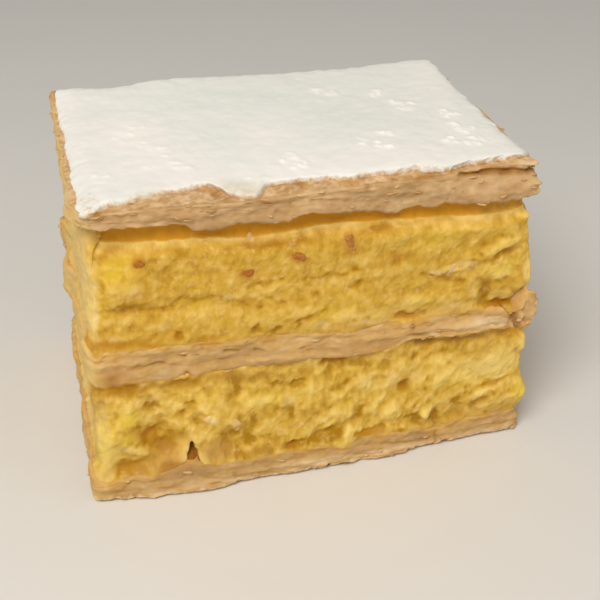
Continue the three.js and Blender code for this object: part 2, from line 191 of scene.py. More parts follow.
class Plan:
    """The outline that every layer is measured from."""

    def __init__(self):
        low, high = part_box("custard_lower")
        self.mid = (np.array(low[:2]) + np.array(high[:2])) / 2 / MM
        self.half = (np.array(high[:2]) - np.array(low[:2])) / 2 / MM
        self.uv = square_walk()
        p = self.uv * self.half
        core = np.clip(p, CORNER - self.half, self.half - CORNER)
        arm = p - core
        p = core + arm * CORNER / np.linalg.norm(arm, axis=1, keepdims=True)
        slope = np.sign(p) * np.abs(p / self.half) ** FAN_POWER / self.half
        self.way = slope / np.linalg.norm(slope, axis=1, keepdims=True)
        self.at = self.mid + p
        self.count = len(p)
        self.level = self.raised(0)
        self.front = ease((-self.way[:, 1] - 0.35) / 0.5)
        self.left = ease((-self.way[:, 0] - 0.35) / 0.5)
        self.along = np.stack([-self.way[:, 1], self.way[:, 0]], 1)

    def raised(self, z):
        """The outline's points at height z."""
        return np.column_stack([self.at, np.full(self.count, float(z))])

    def out(self, reach):
        """Plan points that stand `reach` outside the outline."""
        return self.at + self.way * np.asarray(reach)[..., None]

    def drawn_in(self, edge, inset):
        """Plan points of a ring, drawn in from the points `edge` towards the middle."""
        return edge - (edge - self.mid) * inset / self.half


plan = Plan()


class Solid:
    """A CAD layer that can be measured with rays."""

    FAR = 200.0
    OUTSIDE = 14.0

    def __init__(self, node):
        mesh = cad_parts[node].data
        points = [vertex.co / MM for vertex in mesh.vertices]
        self.tree = BVHTree.FromPolygons(points, [tuple(f.vertices) for f in mesh.polygons])
        low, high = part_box(node)
        self.low = low.z / MM
        self.high = high.z / MM

    def cast(self, starts, ways):
        """Distance from each start to the solid, NaN where the ray misses it."""
        far = np.full(len(starts), np.nan)
        for i, (start, way) in enumerate(zip(starts.tolist(), ways.tolist())):
            hit = self.tree.ray_cast(start, way, self.FAR)
            if hit[0] is not None:
                far[i] = hit[3]
        return far

    def upright(self, xy, sign):
        """Height of the top (sign 1) or underside (sign -1) of the solid at plan points."""
        flat = xy.reshape(-1, 2)
        z = sign * self.FAR / 2
        starts = np.column_stack([flat, np.full(len(flat), z)])
        ways = np.tile(-sign * UP, (len(flat), 1))
        return (z - sign * self.cast(starts, ways)).reshape(xy.shape[:-1])

    def ring_height(self, xy, sign, blur):
        """The height round a ring of plan points, blurred over so many stations."""
        return blurred(filled(self.upright(xy, sign)[None])[0], blur)

    def reach(self, z):
        """How far the solid's side stands outside the plan outline at heights z[row, station]."""
        rows = z.shape[0]
        start = np.tile(plan.out(np.full(plan.count, self.OUTSIDE)), (rows, 1))
        ways = np.tile(np.column_stack([-plan.way, np.zeros(plan.count)]), (rows, 1))
        far = self.cast(np.column_stack([start, z.ravel()]), ways).reshape(z.shape)
        return filled(self.OUTSIDE - far)


def filled(values):
    """Missing values taken from their neighbours in the same row, or from the row before."""
    for k, row in enumerate(values):
        known = ~np.isnan(row)
        if known.sum() < 3:
            values[k] = values[k - 1]
        elif not known.all():
            places = np.arange(len(row))
            values[k] = np.interp(places, places[known], row[known], period=len(row))
    return values


# ---- Meshes ----

def make_object(name, points, quads, tris, material, values):
    """A smooth-shaded mesh object from arrays, in millimetres, with its vertex values."""
    mesh = bpy.data.meshes.new(name)
    mesh.vertices.add(len(points))
    mesh.vertices.foreach_set("co", (points * MM).astype(np.float32).ravel())
    corners = np.concatenate([quads.ravel(), tris.ravel()]).astype(np.int32)
    mesh.loops.add(len(corners))
    mesh.loops.foreach_set("vertex_index", corners)
    sizes = np.concatenate([np.full(len(quads), 4), np.full(len(tris), 3)])
    mesh.polygons.add(len(sizes))
    mesh.polygons.foreach_set("loop_start", np.concatenate([[0], np.cumsum(sizes)[:-1]]).astype(np.int32))
    mesh.update(calc_edges=True)
    mesh.validate()
    mesh.shade_smooth()
    for key, data in values.items():
        attribute = mesh.attributes.new(key, "FLOAT", "POINT")
        attribute.data.foreach_set("value", data.astype(np.float32))
    mesh.materials.append(material)
    return put(name, mesh)


CAP_INSETS = (0.8, 2, 4, 8, 16)  # rings of a layer's flat top, in from its edge
FOOT_INSETS = (16, 8, 4, 2, 0.9)  # rings of a sheet's underside, from the middle out


class Shell:
    """A closed mesh of rings, from the middle of the underside, up the side, to the middle of the top."""

    def __init__(self, keys):
        self.rings = []
        self.values = {key: [] for key in keys}

    def ring(self, xy, z, **values):
        """The next ring, with what the mesh holds at its vertices: 0 where nothing is given."""
        self.rings.append(np.column_stack([xy, np.broadcast_to(z, len(xy))]))
        for key, kept in self.values.items():
            kept.append(np.broadcast_to(values.get(key, 0.0), len(xy)))

    def cap(self, edge, insets, z, **values):
        """Rings drawn in from the edge by each inset in turn."""
        for inset in insets:
            self.ring(plan.drawn_in(edge, inset), z, **values)

    def build(self, name, material):
        n = plan.count
        ends = [self.rings[0].mean(0), self.rings[-1].mean(0)]
        points = np.vstack(self.rings + ends)
        here = np.arange(n)
        turn = np.roll(here, -1)
        first = np.arange(len(self.rings) - 1)[:, None] * n
        quads = np.stack([first + here, first + turn, first + n + turn, first + n + here], -1)
        last = n * (len(self.rings) - 1)
        under = np.column_stack([np.full(n, len(points) - 2), turn, here])
        over = np.column_stack([last + here, last + turn, np.full(n, len(points) - 1)])
        values = {
            key: np.concatenate(kept + [kept[0][:1], kept[-1][:1]])
            for key, kept in self.values.items()
        }
        return make_object(name, points, quads.reshape(-1, 4), np.vstack([under, over]), material, values)


# ---- Heights where the layers meet ----

# The edge between two layers wanders: how far, and how broad its waves are.
SEAM_WAVES = ((0.22, 4.0), (0.12, 1.3))
STATION_STEP = 0.3  # about how far apart the stations of a ring are
MEET = 0.45  # how far each layer runs on behind the next one
MEET_BLEND = 0.55  # over this height custard comes flush with the pastry it meets


def dive(past):
    """How far a layer draws in where it runs `past` the line where it meets the next one."""
    return 0.1 * np.maximum(past + 0.2, 0) + 1.6 * np.maximum(past, 0) ** 2


def meets(gap, blend):
    """1 where a layer meets the next one, fading as the gap to it grows."""
    return np.exp(-(np.maximum(gap, 0) / blend) ** 1.5)


def seam_wander(seed):
    return layered(plan.level, seed, *SEAM_WAVES)


class Side:
    """The side of one layer: rows of points with the form of its solid.

    The heights of its foot and head are taken at the insets, its reach over the measured share of its
    height, and the reach is softened over so many millimetres.
    """

    def __init__(self, node, shares, low_inset, high_inset, measured, soften):
        self.solid = Solid(node)
        self.shares = shares
        middle = (self.solid.low + self.solid.high) / 2
        reach = self.solid.reach(np.full((1, plan.count), middle))[0]
        self.under = self.level(reach - low_inset, -1)
        self.over = self.level(reach - high_inset, 1)
        t = np.clip(shares, *measured)[:, None]
        reach = self.solid.reach(self.under + (self.over - self.under) * t)
        row = float(np.mean(self.over - self.under)) / len(shares)
        self.reach = softened(reach, soften / STATION_STEP, soften / row)

    def level(self, reach, sign):
        """Height of the solid's top or underside that far outside the plan outline."""
        return self.solid.ring_height(plan.out(reach), sign, blur=3)

    def heights(self):
        return self.under + (self.over - self.under) * self.shares[:, None]

    def points(self, reach, z):
        return np.concatenate([plan.out(reach), z[..., None]], -1)


# ---- Marks on the cut front ----

FRONT_Y = -30.5  # the marks are placed on this plane, where the camera sees them


def seen(points):
    """Where the camera sees each point on the plane of the cut front: x and z."""
    eye = np.array(CAMERA_AT) / MM
    share = (FRONT_Y - eye[1]) / (points[..., 1] - eye[1])
    return eye[0] + (points[..., 0] - eye[0]) * share, eye[2] + (points[..., 2] - eye[2]) * share


def leaning(degrees):
    """Cosine and sine of an angle in degrees."""
    return math.cos(math.radians(degrees)), math.sin(math.radians(degrees))


def ovals(x, z, marks):
    """Soft ovals. Each is x, z, half width, half height, amount and, where it leans, its lean in degrees."""
    field = np.zeros(x.shape)
    for mark_x, mark_z, wide, high, amount, *lean in marks:
        c, s = leaning(*lean or (0,))
        u = ((x - mark_x) * c + (z - mark_z) * s) / wide
        v = ((z - mark_z) * c - (x - mark_x) * s) / high
        field = np.maximum(field, amount * np.exp(-(u * u + v * v) ** 1.3))
    return field


def spots(x, z, marks, *kinds):
    """The soft ovals of each kind, on the cut front only."""
    return [ovals(x, z, marks[kind]) * plan.front for kind in kinds]


def line_distance(x, z, line):
    """Distance in the front's plane to a line of points."""
    nearest = np.full(x.shape, np.inf)
    for (x0, z0), (x1, z1) in zip(line, line[1:]):
        dx, dz = x1 - x0, z1 - z0
        t = np.clip(((x - x0) * dx + (z - z0) * dz) / (dx * dx + dz * dz), 0, 1)
        nearest = np.minimum(nearest, np.hypot(x - x0 - t * dx, z - z0 - t * dz))
    return nearest


def seams(x, z, marks, torn):
    """Soft lines. Each is its points, half width and amount."""
    field = np.zeros(x.shape)
    for line, wide, amount in marks:
        away = line_distance(x, z, line) / wide
        field = np.maximum(field, amount * torn * np.exp(-away * away))
    return field


# ---- Custard ----

# Marks on the cut fronts of the two custard layers, where the camera sees them. Dales are broad hollows,
# pits are small ones and swells stand out. Seams are torn lines. Calm parts are smoother. Light and dark
# are painted light and painted shade, which move the tone. The others place the colours of TINGES.
LOWER = {
    "dales": (
        (-34.4, 15.8, 2.2, 2.4, 0.9, -40), (-39.4, 8.9, 4.6, 1.7, 1, 14), (-31.6, 12.4, 2, 2.8, 0.8, 26),
        (-34.6, 9.6, 3, 1.4, 0.4, 20), (-40, 26.8, 6, 1.3, 0.8, -4), (-28, 26.6, 5, 1, 0.7, -2),
        (-19.4, 10.2, 1.4, 3, 0.45, -6), (-17.4, 22.4, 1.5, 2.8, 0.6, -12), (-34.4, 22.2, 1.6, 1.1, 0.5),
        (-28.4, 19.8, 2.2, 0.9, 0.4, 10), (-6, 7, 2.4, 1.1, 0.9, -4), (-13, 14.8, 3.4, 1.6, 0.35, 10),
        (1, 9, 3.2, 1.6, 0.4, 20), (9.8, 6.9, 2.6, 1, 0.9), (21.4, 8.2, 2.6, 1.1, 0.6),
        (24.6, 8.8, 1, 2.4, 0.6), (30, 8.8, 3.4, 1.3, 0.5, 14), (34.6, 10.3, 3.4, 1.1, 0.7, 22),
        (18, 17.9, 1.9, 1.9, 0.9), (5.2, 16.4, 1.6, 0.9, 0.5), (21, 28.4, 3, 1, 1, -22),
        (27.6, 27.4, 3.8, 1, 0.9, -4), (36, 27.5, 5, 0.9, 0.8), (-4.6, 22.5, 2, 0.8, 0.6),
        (-9.8, 23.5, 1.6, 0.7, 0.5, -20), (33, 13.4, 1, 2, 0.3, -10), (-7, 14.6, 1.2, 2.2, 0.3),
        (38.6, 15, 3.2, 0.9, 0.4, 20),
    ),
    "pits": (
        (-34.6, 15.6, 1.2, 1.8, 0.8, -50), (-32.2, 12.2, 1, 2.2, 0.7, 30),
        (-39.6, 8.6, 2.8, 0.9, 0.8, 14), (17.6, 17.6, 1.3, 1.4, 1), (-17.3, 22.5, 1, 2.4, 0.8, -12),
        (-5, 22.4, 1.7, 0.7, 0.8), (-9.6, 23.3, 1.3, 0.7, 0.6, -20), (-26.6, 21.4, 1.4, 0.8, 0.6, 10),
        (-34.2, 22.2, 1.3, 1, 0.6), (-28.6, 19.4, 1.6, 0.6, 0.5, 20), (5.4, 16.3, 1.2, 0.6, 0.6, 10),
        (2.6, 26.6, 2.6, 0.8, 1), (22.6, 24.4, 0.6, 1.6, 0.4, -35), (19.4, 24.8, 0.7, 1.2, 0.6, 30),
        (-6.3, 7, 1.3, 1.1, 1.2), (9.8, 6.7, 1.8, 0.8, 1.2), (17, 6.4, 0.9, 0.7, 0.9),
        (24.8, 8.2, 1, 1.5, 0.8), (36.6, 6.8, 0.8, 0.5, 0.8), (28.9, 11.8, 1.2, 0.6, 0.6),
        (-19.6, 10, 0.8, 3.4, 0.8), (-13.8, 15.6, 0.8, 1.6, 0.5), (-6.2, 15.2, 0.6, 2, 0.6),
        (31.6, 14, 0.5, 1.8, 0.5, -10), (-36.6, 17.6, 1, 1.4, 0.6, -30), (12.6, 7.6, 0.8, 0.6, 0.5, -20),
        (42, 22.4, 1.6, 0.7, 0.5, 35), (21, 8, 0.9, 0.5, 0.5),
    ),
    "seams": (
        (((33.3, 9.9), (36, 11), (38.3, 11.9)), 0.75, 0.9),
        (((34, 14.2), (37, 14.4), (40.5, 15.6)), 0.8, 0.6),
        (((-17.6, 6.6), (-16.4, 8.8), (-14, 10), (-10.8, 10.6)), 0.5, 0.5),
        (((-44.6, 25), (-43.6, 20), (-42.4, 15.6)), 0.4, 0.4),
        (((-33.6, 5.3), (-30.6, 6.4), (-27.6, 8.2)), 0.45, 1.1),
        (((7, 8), (7.6, 11), (8.4, 14.6)), 0.5, 0.45),
        (((-24, 12.4), (-23, 9), (-20.6, 6.4)), 0.5, 0.15), (((13, 21), (16.6, 18.6)), 0.5, 0.4),
    ),
    "swells": (
        (-44.4, 13.4, 2.6, 6, 0.8), (-37.6, 12.4, 2.6, 0.9, 0.9, -24), (-39, 20, 3.6, 3.4, 0.5),
        (-10.6, 19.6, 6, 1.8, 0.6), (10, 19, 5, 3, 0.7, 30), (35, 19.4, 8, 3.2, 0.6, 8),
        (2.6, 12.6, 4, 2, 0.5, 20), (13.6, 12, 4.4, 3.2, 0.4), (22.6, 9.8, 0.9, 1.9, 0.9),
        (6.2, 7.6, 1.1, 2, 0.9), (35.4, 12.9, 3.4, 0.7, 0.6, 24), (44.4, 13, 1.6, 3.4, 0.6, 10),
        (-22.6, 16.6, 1.3, 1, 0.7), (-17.6, 14.2, 1.4, 1.2, 0.7, -40), (-27, 15.8, 1, 1.8, 0.4, 20),
        (-14.4, 8, 2.6, 1.6, 0.4), (43.4, 24.6, 1.5, 2.2, 1.4), (45, 11.6, 1.2, 2.6, 0.8),
    ),
    "lemon": (
        (-43.6, 14, 2.4, 6.4, 1), (-38, 20, 2, 2.2, 0.9), (-38.8, 14.6, 1.6, 1.2, 0.7),
        (-10, 20, 5, 2.2, 0.35), (34, 18, 8, 3, 0.35, 8), (5.4, 16.3, 1.6, 0.9, 0.6),
        (44.6, 12, 2, 3.8, 0.9), (40, 20, 5, 3.4, 0.4), (22.6, 9.6, 0.9, 2, 0.5),
    ),
    "stain": (
        (-39.6, 28.2, 4.6, 1, 1), (-24, 27.6, 6, 0.7, 0.6, 3), (3.2, 26.8, 2.4, 0.8, 0.9),
        (-35.4, 15.6, 1.6, 1.2, 0.7), (-19, 27.4, 2.6, 0.6, 0.8), (39.6, 26.6, 3.6, 0.7, 0.6, -8),
        (9.8, 6.6, 2, 0.7, 0.8), (-6.4, 6.8, 1.4, 1, 0.8), (30, 7.6, 6, 1, 0.4, 6),
        (38.6, 7, 4, 1.2, 0.5, 10), (17.6, 17.4, 1.2, 1.4, 0.4),
    ),
    "bread": (
        (-31, 8.6, 6.4, 3.4, 1, 12), (-22, 8.6, 4, 3, 1), (-12, 7.4, 4, 1.6, 0.5),
        (36, 8, 8, 2.2, 0.6, 6), (-36.4, 6.6, 3, 1.8, 0.5), (14, 6.4, 4, 0.8, 0.6),
        (10, 26.4, 6, 0.8, 0.6, -2), (24, 5.6, 3, 1.2, 0.4),
    ),
    "gold": (
        (-44.8, 26.4, 1.6, 1.6, 0.7), (-37, 27, 8.6, 1.3, 0.75, -2), (-19.2, 27.3, 3.4, 0.7, 0.7),
        (2.6, 26.8, 3, 0.9, 0.8), (17.9, 17.6, 1.5, 1.5, 0.7), (21.4, 26.4, 2.6, 1.4, 0.4),
        (-6, 6.8, 1.7, 0.9, 0.6), (9.8, 6.7, 2, 0.8, 0.8), (17, 6.4, 0.9, 0.5, 0.6),
        (36.6, 6.9, 0.8, 0.6, 0.5), (-17.4, 22.6, 1, 2, 0.3, -12), (-39, 8.4, 3.4, 1, 0.3, 14),
        (-5.6, 27.6, 1.6, 0.4, 0.5), (41, 26.6, 3, 0.7, 0.5, -20),
    ),
    "light": (
        (32, 19, 9, 4.5, 0.16, 4), (36, 15.5, 6, 2, 0.14, 8), (28, 13.5, 4, 2, 0.12),
        (-41.8, 11.6, 1.8, 2.6, 0.5), (26, 16, 1.8, 1, 0.3), (38.4, 16, 2.4, 1.2, 0.25),
        (42, 10, 2, 1.6, 0.3), (6.2, 7.4, 1, 1.6, 0.4), (-24, 12.4, 1.2, 2, 0.25),
        (-38, 17.5, 2, 3, 0.12), (30, 22.4, 8, 1.2, 0.1), (-2, 19, 3, 1, 0.1),
        (10, 18.5, 2.5, 1.2, 0.12),
    ),
    "dark": (
        (-14, 25.6, 8, 1.2, 0.3, -2), (6, 25.2, 5, 1, 0.4), (27, 25.4, 4, 1.2, 0.35),
        (-33, 12.5, 5, 3.5, 0.3), (-32, 8, 8, 2, 0.3, 10), (-17, 12, 2.5, 4, 0.12),
        (-13, 7.2, 5, 1.4, 0.3), (1, 7.4, 5, 1.5, 0.4, -2), (10, 7.2, 4, 1.2, 0.3),
        (-6, 10, 1.6, 1.5, 0.12),
    ),
    "rust": ((-35.4, 15.7, 1.5, 0.9, 0.5, -10), (-23, 27.8, 2.6, 0.5, 0.3)),
    "depths": (
        (-30.4, 7.2, 3.2, 1.2, 0.7, 14), (-22.6, 8.8, 2, 2.2, 0.4), (-33.4, 10, 2, 1.6, 0.15),
        (-39.6, 8.6, 2.4, 0.7, 0.3, 14), (18, 17.5, 1, 1.2, 0.2), (-27.6, 14, 1.6, 1, 0.35),
        (-32.6, 13, 2.6, 2, 0.35, -10), (-29.6, 14.4, 1.8, 1.6, 0.4), (-6.2, 7, 1.6, 1, 0.5),
    ),
    "shadow": (
        (20.4, 28.8, 3.6, 0.9, 1.1, -20), (29.4, 27.8, 5.6, 1, 1.1, -2), (38, 27.6, 4, 0.9, 0.8),
        (-33, 26.6, 9, 0.8, 0.4, -2), (8, 27.2, 6, 0.5, 0.3), (-15, 26.2, 8, 1, 0.55, -2),
        (-28, 8.2, 1.4, 0.5, 0.7, 30), (-31, 5.9, 3.4, 0.5, 0.5, 24), (24.8, 8.2, 0.9, 1.8, 0.3),
    ),
    "calm": ((36, 21, 9, 5, 0.7), (-44, 14, 3.4, 9, 0.8), (-38, 19, 4, 4, 0.4)),
    "pale": (
        (38, 20.4, 7, 3.4, 0.5, 6), (-22.4, 16.8, 1.5, 1.1, 0.9), (-17.6, 14.4, 1.3, 1, 0.9, -50),
        (14.6, 20.2, 1.6, 1.5, 0.7, -30), (-6.6, 18.8, 1, 1.6, 0.7), (-39, 12.6, 1.9, 0.8, 0.6, -20),
        (20, 20.2, 1.4, 0.8, 0.6, 30), (-11.6, 19.6, 1, 1.4, 0.5, 20), (9.4, 20.6, 1.2, 0.8, 0.5),
        (36, 12.8, 3, 0.5, 0.6, 24), (-33.6, 24, 2.4, 0.8, 0.4, 8), (22.6, 9.4, 0.7, 1.6, 0.5),
        (-8.4, 10.6, 1, 0.8, 0.5),
    ),
}
# The tent-shaped hole: foot left and right, and tip.
TENT = {"foot": ((-28.4, 7.0), (-24.7, 7.0)), "tip": (-26.8, 12.6), "deep": 2.1}
UPPER = {
    "dales": (
        (-39.6, 37.4, 5, 1.3, 0.5, -8), (35.4, 35.3, 4.6, 0.9, 0.6, -10), (41, 35.4, 1.2, 1.2, 0.5),
        (33.6, 40.2, 1.6, 2.4, 0.5), (17.6, 35, 2.2, 0.9, 0.8, -10), (-38.6, 55.4, 2.4, 1.6, 0.7),
        (-12.6, 36.4, 1.2, 0.9, 0.6), (-9.4, 35.8, 1.6, 0.7, 0.5), (-27.6, 37.2, 1, 1.1, 0.6),
        (-22, 35.8, 3.2, 0.7, 0.25), (38.6, 47.2, 3, 0.9, 0.6, 24), (-36, 44.4, 3.4, 1, 0.5, 4),
        (10.4, 54.6, 2.6, 0.9, 0.5), (-2.6, 37.6, 2.2, 0.8, 0.5, 30), (21.6, 47.4, 9, 1.1, 0.25),
    ),
    "pits": (
        (-38.3, 52.3, 1.3, 0.9, 0.5), (-33.6, 53.2, 1.4, 1.3, 0.4, -30), (41, 35.4, 1, 1, 1),
        (36.4, 34.9, 2.8, 0.7, 1, -6), (17.7, 35, 1.4, 0.6, 1, -10), (15.6, 35.2, 0.7, 0.5, 0.8),
        (20.8, 34.8, 0.8, 0.4, 0.7, -20), (9.4, 35.3, 0.5, 0.5, 0.6), (6.8, 35.8, 0.7, 0.5, 0.4),
        (-27.7, 37.3, 0.7, 0.9, 0.9), (-12.8, 36.4, 0.8, 0.6, 0.6), (-9, 35.8, 1, 0.6, 0.6),
        (33.4, 38, 1.3, 2.2, 0.9), (-42, 41, 1.2, 0.6, 0.4), (-20.9, 44.6, 0.7, 0.4, 0.4),
        (30.4, 45, 0.7, 0.5, 0.5), (10.4, 54.8, 2, 0.7, 0.4), (-28, 44.6, 1.6, 0.6, 0.5, 25),
        (24, 51.4, 0.6, 0.4, 0.4), (32.2, 46.4, 0.7, 0.6, 0.5), (-37.4, 45, 2.4, 0.8, 0.6, 4),
        (38.6, 53, 0.6, 0.7, 0.3), (7, 43.4, 1.8, 0.5, 0.4, 14),
    ),
    "seams": (
        (((-14.6, 46.2), (-11.6, 46.3), (-8.6, 47), (-6.4, 46.2), (-3, 46), (1, 46.1), (8, 46.9)), 0.5, 0.42),
        (((-42.6, 44.4), (-38, 45.2), (-35.4, 43.8), (-30, 43.6), (-27.4, 45.4), (-23.6, 44.7),
          (-20.6, 44.7)), 0.55, 0.5),
        (((-20.6, 44.7), (-18, 43.7), (-15.6, 43.4), (-14.2, 42), (-12.2, 41.4)), 0.5, 0.55),
        (((-10.6, 43.2), (-8.4, 42.3), (-5, 41.8), (-1, 42.4)), 0.5, 0.4),
        (((30.6, 47.2), (32.4, 48.6), (34.6, 49.8), (37.6, 50)), 0.55, 0.5),
        (((32.8, 45), (35.4, 45.8), (38, 46.6), (40.4, 47.2)), 0.6, 0.75),
        (((20, 44), (23, 42.4), (26, 41.6), (29.6, 40.4)), 0.6, 0.6),
        (((32, 40.3), (35.6, 40.2), (39, 40.3)), 0.45, 0.6),
        (((-4.9, 35.4), (-4.4, 37), (-2.6, 37.9), (0.4, 38.4)), 0.55, 0.7),
        (((-36.4, 40.6), (-33, 38.6), (-30.4, 38.8)), 0.6, 0.3),
        (((-40.6, 50.8), (-40.2, 47), (-41.4, 43.6)), 0.7, 0.3),
        (((-32, 51), (-32.4, 47), (-34, 44.6)), 0.6, 0.25),
    ),
    "swells": (
        (35.4, 43, 3.2, 2, 0.8, 14), (36, 48.2, 3.4, 1, 0.6, 24), (-39, 42.6, 4, 1.4, 0.5, 4),
        (-23, 42, 6, 1.8, 0.5, -6), (-5, 39.4, 4.6, 1.6, 0.5, 6), (17.6, 37.6, 4, 1.6, 0.5),
        (5, 37.6, 4, 1.8, 0.4), (-9.6, 45, 4.6, 1, 0.35, 4), (6.6, 45.2, 5, 0.9, 0.3, 4),
        (-38, 49.4, 3.6, 3, 0.4), (26, 53.6, 8, 2, 0.4, -4), (40.6, 54.4, 1.6, 1.4, 0.4),
        (25.4, 44, 3.6, 0.8, 0.6, 6), (36.8, 37, 2.2, 1.2, 0.7, -8), (44, 38.2, 1.5, 1.6, 1.8),
    ),
    "lemon": (
        (-38.4, 52.2, 1.9, 1.5, 1), (-37.6, 53.6, 3.6, 3, 0.5), (36, 42.6, 3, 1.8, 0.7, 10),
        (-41.6, 47, 1.4, 4, 0.4), (22, 50.6, 5, 2.4, 0.3), (-24, 44, 4, 1, 0.3), (19, 37.6, 3, 1.4, 0.4),
        (2, 38.6, 5, 2.4, 0.3),
    ),
    "stain": (
        (-40.4, 37.7, 4.6, 1.1, 1, -8), (-34.6, 36.4, 4, 0.6, 0.9, -10), (-29, 37.6, 2.4, 0.9, 0.6),
        (-22, 35.7, 3.6, 0.6, 0.7, -4), (-33.8, 53.6, 1.2, 1.9, 0.9, -30), (-34.6, 46.8, 2.6, 2.2, 0.35),
        (14.4, 48.4, 4, 1.4, 0.45), (36.6, 34.9, 3, 0.7, 0.9, -6), (17.7, 34.9, 1.8, 0.6, 0.8, -10),
        (10.4, 54.8, 2.2, 0.8, 0.5), (0.4, 56, 1.6, 0.8, 0.5), (3, 51.6, 2.2, 1.2, 0.3),
        (-19, 49, 3.2, 1, 0.3, 20), (34, 45, 1, 0.8, 0.3),
    ),
    "bread": (
        (24, 34.6, 9, 0.9, 0.7, -6), (4, 33.8, 6, 0.6, 0.5), (-36, 35.6, 6, 0.5, 0.6),
        (43.2, 38, 1.4, 0.9, 0.4),
    ),
    "gold": (
        (-45, 38.2, 1.6, 1.6, 0.7), (-40.6, 37.3, 5.6, 1.1, 0.8, -5), (-33, 36.4, 3.4, 0.7, 0.8, -10),
        (37, 34.9, 3.4, 0.7, 1, -6), (41.2, 35, 1.5, 1.8, 1, 10), (-38.6, 56.8, 2.2, 1.2, 0.5, 10),
        (-31, 37.6, 1.6, 0.8, 0.4), (17.8, 35, 1.6, 0.6, 0.6, -10), (-22, 35.7, 3, 0.4, 0.5, -4),
        (10.2, 55.4, 3, 0.6, 0.5, -4), (-12.6, 36.4, 0.8, 0.6, 0.4), (-9.4, 35.9, 1.2, 0.4, 0.4),
        (-27.6, 37.2, 0.7, 0.7, 0.6),
    ),
    "rust": (
        (5.2, 53, 1.5, 2.5, 1, 4), (6.4, 51.2, 1.2, 1, 0.5), (-14, 48.9, 1.5, 1.4, 1),
        (-4.4, 50.9, 2.2, 1.1, 1, -28), (-33.9, 54, 1, 1.3, 0.5, -20), (10.2, 54.7, 1.4, 0.4, 0.5),
        (14.4, 48.4, 3.4, 1, 0.25), (17.9, 34.6, 1.8, 0.5, 0.6, -10), (-14.2, 43.2, 1.6, 0.7, 0.4, -50),
    ),
    "light": (
        (6, 48, 5, 1.6, 0.2), (26, 48.5, 6, 2, 0.13), (36, 49.5, 4, 2.6, 0.15),
        (38.2, 47.8, 2.6, 1.6, 0.35), (15, 45.5, 8, 1.5, 0.1), (12, 36.2, 5, 1.3, 0.34),
        (37.4, 36.6, 1.8, 1, 0.4, -8), (2, 36.2, 2, 1, 0.12), (38, 40.5, 3, 2, 0.1),
        (42.6, 40.4, 1.2, 3.4, 0.3, 8), (-34, 39, 2, 1, 0.15), (-40.4, 37.5, 2.4, 0.8, 0.3, -6),
        (-31, 37.6, 1.4, 0.6, 0.25), (14, 39, 2, 1, 0.1),
    ),
    "dark": (
        (-9, 54.9, 9, 1.6, 0.34, -3), (14, 56.2, 7, 0.8, 0.3, -4), (38.4, 39.8, 1.6, 1, 0.2),
        (-30, 54.4, 3, 3, 0.1), (16, 54.4, 5, 1.4, 0.06),
    ),
    "depths": ((41.1, 35.3, 1.1, 1.2, 1), (36.8, 34.9, 2.4, 0.4, 0.5, -6)),
    "shadow": ((33.4, 39.4, 1.2, 2, 0.3), (38, 46.6, 2.6, 0.5, 0.3, 20)),
    "calm": ((-10, 53, 14, 4, 0.4), (14, 43, 9, 3, 0.4)),
    "pale": (
        (23.2, 43.7, 2, 0.7, 0.8, -8), (26.2, 44, 0.8, 1.4, 0.9, -28), (29.4, 44.4, 1.5, 1, 0.8, -30),
        (10, 34.2, 5, 0.8, 0.9, -4), (0, 35.6, 2.4, 0.8, 0.7), (27, 35.4, 4, 0.8, 0.6, -4),
        (-34.8, 48.2, 1.4, 1.7, 0.5), (-18, 44.4, 1.6, 0.8, 0.6, -10), (-30, 40.4, 1.4, 1, 0.5),
        (4.2, 37.4, 1.8, 1.2, 0.5), (18, 37.6, 2.4, 1, 0.4), (36.4, 41.8, 2.6, 1, 0.5, 10),
        (42.8, 41, 1.2, 3, 0.9, 6), (-39.4, 38.8, 2, 0.5, 0.5, -6), (30.8, 38.4, 0.8, 2.2, 0.4),
        (-13.2, 44.2, 2, 0.5, 0.4, -30),
    ),
}
# The ovals that are shown as colour, at the front and the near part of the left end.
PAINTED = ("lemon", "stain", "pale", "bread", "gold", "rust", "shadow", "depths")
# Colours laid over the custard: the mesh value that places each, its strength and the colour. Several
# stand for painted shade and light, as noted at each.
TINGES = (
    # Painted shade in the broad hollows.
    ("olive", 0.5, (188, 142, 38)),
    ("lemon", 0.65, (236, 206, 60)),
    # An orange stain, which under the middle sheet is also painted shade.
    ("stain", 0.6, (206, 144, 30)),
    # Pale curds, and along the front's top edge a painted highlight.
    ("pale", 0.6, (244, 214, 148)),
    ("bread", 0.6, (204, 160, 88)),
    ("rust", 0.8, (184, 120, 36)),
    ("shadow", 0.75, (152, 110, 50)),
    # Painted light on the left end.
    ("cream", 0.85, (240, 216, 150)),
    # An orange stain above the middle sheet, and painted shade in pits, crevices and under the sheets.
    ("gold", 0.8, (178, 122, 4)),
    # Painted shade in the tent-shaped hole and the deepest pits.
    ("depths", 0.9, (142, 86, 6)),
    # Painted shade in the recess under the top sheet.
    ("amber", 0.85, (218, 152, 18)),
)
# How far the front's lit top edge lies below the top sheet, from the left to the right.
EDGE_DROP = (
    (-46, 3.6), (-43, 3.8), (-40, 4), (-37.4, 4), (-36, 3.6), (-33, 3.2), (-30, 3.2), (-26, 3.5),
    (-22, 3.6), (-18, 4.1), (-15, 4.5), (-10, 4.6), (-5, 4.2), (0, 3.7), (5, 3.1), (10, 3), (15, 3),
    (20, 3.2), (25, 3.4), (30, 3.7), (35, 3.7), (40, 3.6), (45, 2.6),
)
OTHER_DROP = 1.4  # the same at the ends and the back
